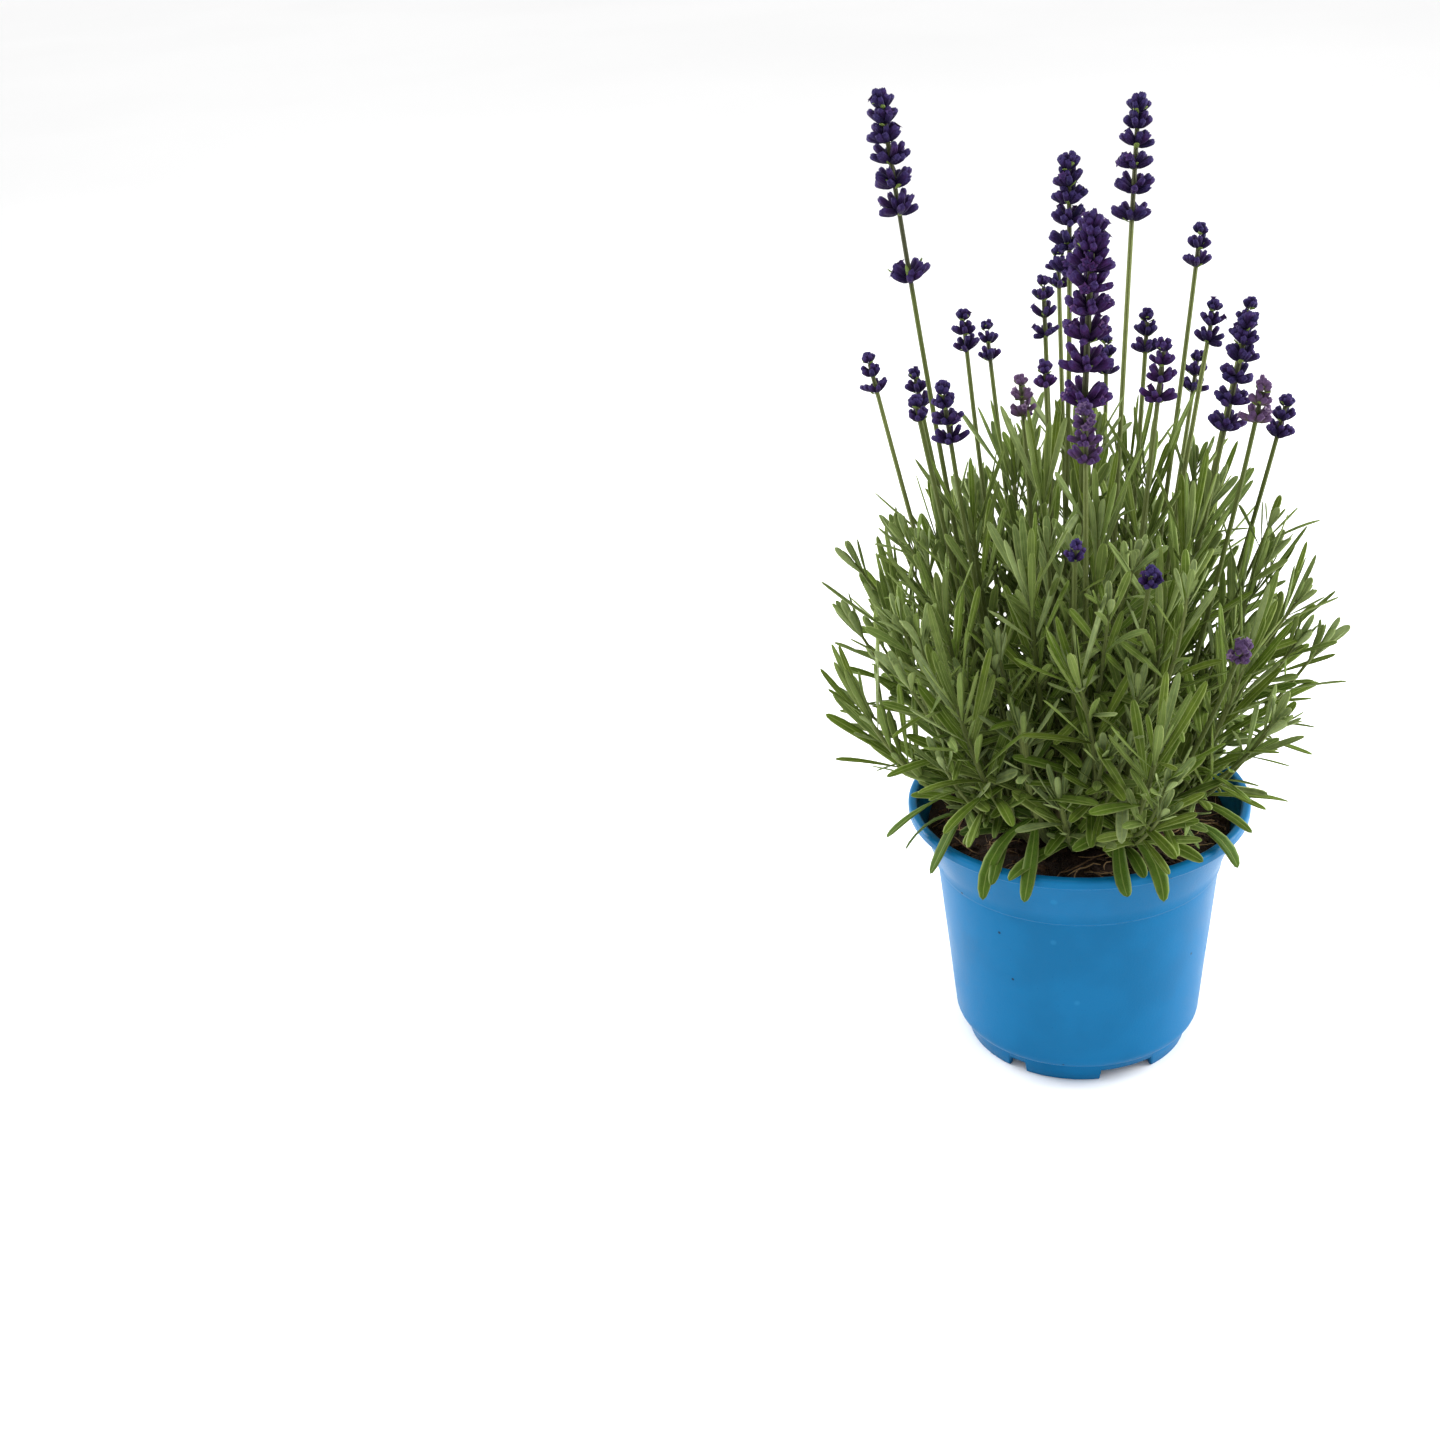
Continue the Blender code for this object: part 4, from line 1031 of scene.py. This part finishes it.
# %% Low shoots
# Each shoot's bearing, its size, and how far to its side the leaves hang that it sends over the lip
# (degrees)
LOW_SHOOTS = (
    (-106, 1.6, (-12, 1)), (-74, 1.7, (-2, 9)), (-91, 0.8, ()), (-150, 1.1, (0, 12)), (-37, 1.0, (0,)),
    (-129, 1.0, ()), (-55, 0.9, ()), (33, 0.9, (6,)), (62, 1.1, (-8,)), (90, 1.0, (0, 10)), (118, 1.1, (5,)),
    (148, 0.9, (-6,)),
)


def hanging_leaf(foot, bearing):
    """A broad old leaf that arches over the lip and ends beside the collar."""
    out = np.array((math.cos(bearing), math.sin(bearing), 0))
    over = out * (RIM_RADIUS - 2 * MM) + (0, 0, RIM_TOP + chance.uniform(3.5, 6) * MM)
    end = out * (RIM_RADIUS + chance.uniform(6, 10) * MM) + (0, 0, RIM_TOP - chance.uniform(2, 10) * MM)
    return {
        "foot": foot[None],
        "middle": over[None],
        "tip": end[None],
        "flat": np.cross(out, (0, 0, 1.0))[None],
        "upper": np.array([(0.0, 0.0, 1.0)]),
        "width": np.array([chance.uniform(4.8, 6.2) * MM]),
        "fold": np.array([chance.uniform(0.05, 0.25)]),
        "twist": np.array([chance.normal(0, 0.5)]),
        "youth": np.array([chance.uniform(0.0, 0.2)]),
        "tint": np.array([chance.uniform(0.5, 1)]),
    }


def low_shoot(bearing, size, offsets):
    """A short thick shoot out to the lip, which turns up there: broad leaves below, pale ones above."""
    angle = math.radians(bearing)
    out = np.array((math.cos(angle), math.sin(angle), 0))
    side = np.array((-out[1], out[0], 0))
    start = out * 18 * MM + (0, 0, SOIL_LEVEL + 2 * MM)
    end = out * chance.uniform(53, 58) * MM + side * chance.normal(0, 5) * MM
    end = end + (0, 0, RIM_TOP + 34 * MM * size)
    bend = out * chance.uniform(50, 54) * MM + (0, 0, SOIL_LEVEL + 8 * MM)
    t = np.linspace(0, 1, 18)[:, None]
    path = (1 - t) ** 2 * start + 2 * t * (1 - t) * bend + t**2 * end
    turn = chance.uniform(0, math.pi)
    shares = np.array((0.40, 0.56, 0.70, 0.82, 0.93))
    length = np.array((27, 31, 31, 27, 20)) * MM * (0.7 + 0.3 * size)
    width = np.array((5.4, 5.4, 5.0, 4.5, 3.6)) * MM
    spread = np.array((1.25, 1.15, 0.95, 0.8, 0.6)) + chance.normal(0, 0.12, 5)
    youth = np.array((0.05, 0.3, 0.65, 0.9, 1.0))
    groups = [
        paired(path, shares, length, spread, turn, width, np.array((0.35, 0.3, 0.2, 0.1, 0.0)), youth),
        paired(path, shares[1:] + 0.02, chance.uniform(9, 15, 4) * MM, 0.7, turn + 0.7, 2.6 * MM, 0.0, 0.95),
        tufts(path, 1.0, 0.35, (20, 15, 9)),
    ]
    low = joined(groups)
    low = chosen(low, fitting(low))
    hung = [hanging_leaf(path[chance.integers(8, 11)], angle + math.radians(offset)) for offset in offsets]
    return stem_tube(path, 1.8 * MM * size**0.5, 1.1 * MM * size**0.5, 0.3), joined([low, *hung])


grown = [low_shoot(*row) for row in LOW_SHOOTS]
leaves = joined([part for _, part in grown])
piece("low_shoots", [leaf_skins(leaves), *(stem for stem, _ in grown)], [leaf, stem_skin], "leaf")
print(f"{len(LOW_SHOOTS)} low shoots carry {len(leaves['foot'])} leaves")

# %% [markdown]
# ## The flowers
# A spike is a stack of whorls, and a whorl is a ring of short tubes, the calyces, which stay closed around
# their buds for weeks. They are ribbed and downy and nearly black violet, and a painted highlight makes
# them paler at the rim, where the down would catch the light. Only a few corollas are open at once, each
# with two lips over a short tube, and painted shade darkens the tube's foot and its throat. Spheres would
# look like berries, so every calyx is a small grid: a tube that swells, with a toothed mouth and eight ribs
# from its UV map. Whorls take their places and widths from the imported spike, which keeps the look and
# the plain model together. Faded heads get browner calyces and no open flowers.

# %% Calyx and petals
calyx_skin, tree, shader, place, uv, looks = new_material(
    "lavender_calyx", Specular_IOR_Level=0.08, Sheen_Weight=0.04, Sheen_Roughness=0.4
)
shader.inputs["Sheen Tint"].default_value = srgb(150, 140, 214)
down = use(tree, mottle, Vector=place, Patch_Scale=420.0, Grain_Scale=3600.0)
vein = use(tree, ribs, Across=uv["X"], Count=8.0)
body = mixed(tree, looks["Green"], srgb(12, 6, 32), srgb(38, 9, 44))
crest = mixed(tree, looks["Green"], srgb(25, 17, 58), srgb(66, 26, 82))
colour = mixed(tree, ramp(tree, looks["Red"], 0.45, 1.0), body, crest)
colour = mixed(tree, ramp(tree, looks["Red"], 0.0, 0.20, 0.8, 0.0), colour, srgb(66, 62, 50))
colour = mixed(tree, maths(tree, "MULTIPLY", vein["Height"], 0.20), colour, srgb(50, 42, 92))
# A pale band near the calyx mouth: a painted highlight where the down would catch the light.
colour = mixed(tree, ramp(tree, looks["Red"], 0.82, 0.94, 0.0, 0.40), colour, srgb(78, 68, 126))
colour = mixed(tree, maths(tree, "MULTIPLY", down["Grain"], 0.09), colour, srgb(84, 74, 130))
worn = mixed(tree, ramp(tree, looks["Red"], 0.2, 0.8), srgb(98, 92, 66), srgb(104, 78, 110))
colour = mixed(tree, looks["Blue"], colour, worn)
dull = maths(tree, "MULTIPLY_ADD", down["Grain"], 0.12, 0.56)
wire(tree, shader, colour, dull, maths(tree, "MULTIPLY_ADD", vein["Height"], -1.0, down["Grain"]), 0.12 * MM)

petal_skin, tree, shader, place, uv, looks = new_material(
    "lavender_petal", Specular_IOR_Level=0.12, Sheen_Weight=0.06, Sheen_Roughness=0.4
)
shader.inputs["Sheen Tint"].default_value = srgb(170, 150, 220)
down = use(tree, mottle, Vector=place, Patch_Scale=500.0, Grain_Scale=3600.0)
colour = mixed(tree, looks["Green"], srgb(44, 30, 80), srgb(66, 28, 78))
colour = mixed(tree, maths(tree, "MULTIPLY", down["Patches"], 0.35), colour, srgb(84, 58, 112))
# The rows deepest in the tube and the throat turn nearly black: painted shade.
colour = mixed(tree, ramp(tree, looks["Red"], 0.8, 1.0), colour, srgb(26, 14, 42))
colour = mixed(tree, looks["Blue"], colour, srgb(138, 116, 140))
dull = maths(tree, "MULTIPLY_ADD", down["Grain"], 0.12, 0.5)
wire(tree, shader, colour, dull, down["Grain"], 0.05 * MM)
print(f"{calyx_skin.name}: {len(calyx_skin.node_tree.nodes)} nodes")

# %% Buds
BUD_ALONG = np.array((0, 0.09, 0.26, 0.52, 0.76, 0.88, 0.93, 0.97))
BUD_RADIUS = np.array((0.34, 0.68, 0.93, 1.0, 0.97, 0.86, 0.62, 0.34))
BUD_SIDES = np.arange(8) * 2 * math.pi / 8


def bud_skins(base, heading, length, radius, tint, fade):
    """Closed buds: a ribbed barrel that narrows to its foot, with a blunt end between four low teeth."""
    rows = BUD_ALONG[:, None]
    lift = np.array((0, 0, 1.0)) * length[:, None, None] * 0.16 * (rows**2 - rows)
    line = base[:, None] + heading[:, None] * length[:, None, None] * rows + lift
    side = unit(np.cross(heading, (0.31, 0.22, 1.0)))
    other = np.cross(heading, side)
    ripple = 1 + 0.05 * np.cos(BUD_SIDES * 4) * (BUD_ALONG[:, None] < 0.95)
    teeth = 0.07 * np.cos(BUD_SIDES * 4) * np.clip((BUD_ALONG[:, None] - 0.7) / 0.2, 0, 1)
    around = np.cos(BUD_SIDES)[:, None] * side[:, None, None]
    around = around + np.sin(BUD_SIDES)[:, None] * other[:, None, None]
    size = radius[:, None, None] * BUD_RADIUS[:, None] * ripple
    rings = line[:, :, None] + around * size[..., None]
    rings = rings + heading[:, None, None] * length[:, None, None, None] * teeth[..., None]
    shape = rings.shape[:3]
    look = np.stack([np.broadcast_to(BUD_ALONG[:, None], shape), np.broadcast_to(tint[:, None, None], shape),
                     np.broadcast_to(fade[:, None, None], shape)], axis=-1)
    return skin(rings, base, base + heading * length[:, None], look, along=BUD_ALONG)


# Each row: its height up the flower, its width, and its depth into the tube, which the petal finish paints dark as
# shade.
LIP_ROWS = (
    (0.0, 0.42, 0.9),
    (0.45, 0.62, 0.7),
    (0.8, 1.15, 0.3),
    (1.0, 1.75, 0.0),
    (0.86, 1.1, 0.3),
    (0.4, 0.45, 1.0),
)
LIP_SIDES = np.arange(10) * 2 * math.pi / 10


def petal_skins(base, heading, size, tint, fade):
    """Open flowers: a short trumpet with five round lobes, whose inside turns back down into the throat."""
    side = unit(np.cross(heading, (0.31, 0.22, 1.0)))
    other = np.cross(heading, side)
    climb, wide, depth = (np.array(column) for column in zip(*LIP_ROWS))
    lobes = 1 + 0.30 * np.cos(LIP_SIDES * 5) * np.clip(wide[:, None] - 1.0, 0, 1) + 0.12 * np.cos(LIP_SIDES)
    around = np.cos(LIP_SIDES)[:, None] * side[:, None, None]
    around = around + np.sin(LIP_SIDES)[:, None] * other[:, None, None]
    reach = size[:, None, None] * wide[:, None] * lobes
    line = base[:, None] + heading[:, None] * size[:, None, None] * climb[:, None] * 1.5
    rings = line[:, :, None] + around * reach[..., None]
    shape = rings.shape[:3]
    look = np.stack([np.broadcast_to(depth[:, None], shape), np.broadcast_to(tint[:, None, None], shape),
                     np.broadcast_to(fade[:, None, None], shape)], axis=-1)
    end = base + heading * size[:, None] * 0.35
    return skin(rings, base - heading * size[:, None] * 0.2, end, look, finish=1)


print(f"{len(BUD_SIDES)} columns round a bud, {len(LIP_ROWS)} rows in a corolla")

# %% Read back the flower stems
WHORL_LEAST = 1.9 * MM  # a ring wider than this belongs to a whorl


def spike(node):
    """A flower stem's line from the soil up, and for each whorl its foot, its heading and its radius."""
    points, touch = solid(node)
    rings = layers(touch, points[:, 2].argmax(), np.ones(len(points), bool))
    centres = np.stack([points[ring].mean(axis=0) for ring in rings])
    spans = [np.linalg.norm(points[ring] - centre, axis=1) for ring, centre in zip(rings, centres)]
    radii = np.array([span.mean() for span in spans])
    wide = np.flatnonzero(radii > WHORL_LEAST)
    return centres[::-1], centres[wide + 1], unit(centres[wide - 1] - centres[wide + 1]), radii[wide]


def whorl_buds(foot, heading, radius, room, below):
    """One whorl: a fan of buds that splay out from its foot, and fewer that stand up inside it.

    The buds are as long as the whorl is wide, and longer where that is needed to reach the whorl above. They stand
    the steeper the fewer whorls there are above them, so that the spike ends in a dome.
    """
    top = below == 0
    thick = 0.74 * MM + 0.088 * radius
    outer = max(5, int(round(2 * math.pi * 0.62 * radius / (2.15 * thick))))
    inner = max(3, outer - 3)
    crown = 2 if top else 0
    count = outer + inner + crown
    order = np.arange(count)
    circle = np.where(order < outer, 0, np.where(order < outer + inner, 1, 2))
    step = np.array((2 * math.pi / outer, 2 * math.pi / inner, math.pi))[circle]
    angle = chance.uniform(0, 6.3) + order * step + circle * 0.5 + chance.normal(0, 0.20, count)
    low = np.interp(below, (0, 1, 2, 3), (0.86, 0.70, 0.56, 0.46))
    rise = np.array((low, low + 0.38, 1.42))[circle] + chance.normal(0, 0.12, count)
    side = unit(np.cross(heading, (0.0, 1.0, 0.1)))
    other = np.cross(heading, side)
    out = np.cos(angle)[:, None] * side + np.sin(angle)[:, None] * other
    ahead = out * np.cos(rise)[:, None] + heading * np.sin(rise)[:, None]
    size = np.clip(0.92 * room, 1.1 * radius, (1.25 if radius > 4.6 * MM else 1.6) * radius)
    length = size * np.array((0.9 if top else 1.0, 0.98, 1.0))[circle] * chance.uniform(0.84, 1.1, count)
    lift = chance.uniform(0, 0.15, count) + circle * 0.08
    base = foot + out * 0.4 * MM + heading * lift[:, None] * radius
    return base, ahead, length, thick * chance.uniform(0.88, 1.1, count)


SPIKES = sorted(name for name in NODES if name.startswith("flower_stem"))
# How far a head has faded, 0 to 1. Heads that aren't named are fresh.
FADED = {"flower_stem_11": 0.7, "flower_stem_18": 0.8, "flower_stem_23": 0.3, "flower_stem_26": 0.55}
LONE_WHORLS = ("flower_stem_01",)
# The share of a head's buds that are open, 0.04 where it isn't named, and the heads with redder calyces
OPEN_SHARE = {"flower_stem_04": 0.16, "flower_stem_23": 0.2}
WARM_SPIKES = ("flower_stem_04", "flower_stem_19", "flower_stem_21", "flower_stem_23")
buds_made = 0
for name in SPIKES:
    line, feet, headings, radii = spike(name)
    path = smooth_path(line, 36, 5)
    path = path[path[:, 2] < feet[0, 2] + 1.5 * MM]
    fade = FADED.get(name, 0.0)
    gaps = np.linalg.norm(np.diff(feet, axis=0), axis=1)
    rooms = np.concatenate([[0.0], np.where(gaps < 2.4 * radii[1:], gaps, 0)])
    whorls = zip(feet, headings, radii, rooms)
    groups = [whorl_buds(*whorl, i) for i, whorl in enumerate(whorls)]
    base, ahead, length, radius = (np.concatenate(part) for part in zip(*groups))
    count = len(base)
    buds_made += count
    warmth = 0.75 if name in WARM_SPIKES else 0.25
    deeper = np.repeat(np.linspace(-0.3, 0.4, len(groups)), [len(group[0]) for group in groups])
    tint = np.clip(warmth + deeper * warmth + chance.normal(0, 0.12, count), 0, 1)
    worn = np.full(count, fade)
    skins = [bud_skins(base, ahead, length, radius, tint, worn)]
    opened = chance.uniform(0, 1, count) < OPEN_SHARE.get(name, 0.04)
    if opened.any():
        skins.append(
            petal_skins(
                (base + ahead * length[:, None] * 0.8)[opened],
                ahead[opened],
                radius[opened] * 0.7,
                tint[opened],
                worn[opened],
            )
        )
    piece(name + "_flowers", skins, [calyx_skin, petal_skin], "flower", name)

    stout = 1.25 if radii.max() > 7 * MM else 1.0
    in_spike = path[:, 2] > feet[:, 2].min()
    stalk = stem_tube(path, 0.95 * MM * stout, 0.72 * MM * stout, purple=in_spike * 0.6)
    bracts = []
    for i, (foot, heading, radius_here) in enumerate(zip(feet, headings, radii)):
        short = np.stack([foot - heading * 0.6 * MM, foot + heading * 0.4 * MM])
        size = radius_here * (1.35 if i == len(feet) - 1 and name in LONE_WHORLS else 0.7)
        bracts.append(paired(short, (0.0, 1.0), size, 1.0, chance.uniform(0, 3), 1.8 * MM, -0.25, 0.2))
    piece(name + "_stalk", [stalk, leaf_skins(joined(bracts))], [leaf, stem_skin], "leaf", name)
print(f"{len(SPIKES)} spikes carry {buds_made} buds")

# %% [markdown]
# ## Floor and light
# Plants for sale are often shown on a white sweep with broad soft lamps, so that no shadow has an edge.
# A single sun would cut hard lines between so many thin leaves. Here a pale floor, an even white surround
# and three area lamps do the work: one to each side for the edges of the pot, and a weak one above for the
# tips.

# %% Stage
floor_finish, tree, shader, place, uv, looks = new_material("pale_floor", Roughness=0.6, Specular_IOR_Level=0.2)
shade = use(tree, mottle, Vector=place, Patch_Scale=1.2, Grain_Scale=9.0)
wire(tree, shader, mixed(tree, shade["Patches"], srgb(249, 249, 249), srgb(252, 252, 252)))
half = 8.0
sheet = bpy.data.meshes.new("floor")
corners = [(-half, -half, 0), (half, -half, 0), (half, half, 0), (-half, half, 0)]
sheet.from_pydata(corners, [], [(0, 1, 2, 3)])
sheet.uv_layers.new(name="surface")
sheet.materials.append(floor_finish)
floor = bpy.data.objects.new("floor", sheet)
bpy.context.scene.collection.objects.link(floor)
floor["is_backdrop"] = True

world = bpy.data.worlds.new("studio")
bpy.context.scene.world = world
world.use_nodes = True
background = world.node_tree.nodes["Background"]
background.inputs["Color"].default_value = (1.0, 1.0, 1.0, 1)
background.inputs["Strength"].default_value = 1.0


def softbox(name, place, target, size, power):
    """A square area light that faces a target."""
    light = bpy.data.lights.new(name, "AREA")
    light.size = size
    light.energy = power
    lamp = bpy.data.objects.new(name, light)
    back = unit(np.array(place, float) - np.array(target, float))
    side = unit(np.cross((0, 0, 1), back))
    turned = Matrix(np.stack([side, np.cross(back, side), back], axis=1))
    lamp.matrix_world = Matrix.Translation(place) @ turned.to_4x4()
    bpy.context.scene.collection.objects.link(lamp)


softbox("left_softbox", (-1.0, 0.42, 0.5), (0, 0, 0.1), 0.7, 16)
softbox("right_softbox", (1.0, 0.34, 0.5), (0, 0, 0.1), 0.7, 20)
softbox("top_softbox", (-0.15, -0.3, 1.2), (0, 0, 0.2), 0.45, 4)
bpy.context.scene.view_settings.view_transform = "Standard"
print("stage ready")

# %% Sizes and finish
low, high = CAD_BOX
new_low, new_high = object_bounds()
sizes = {"cad": [list(low), list(high)], "visual": [list(new_low), list(new_high)]}
print(sizes)
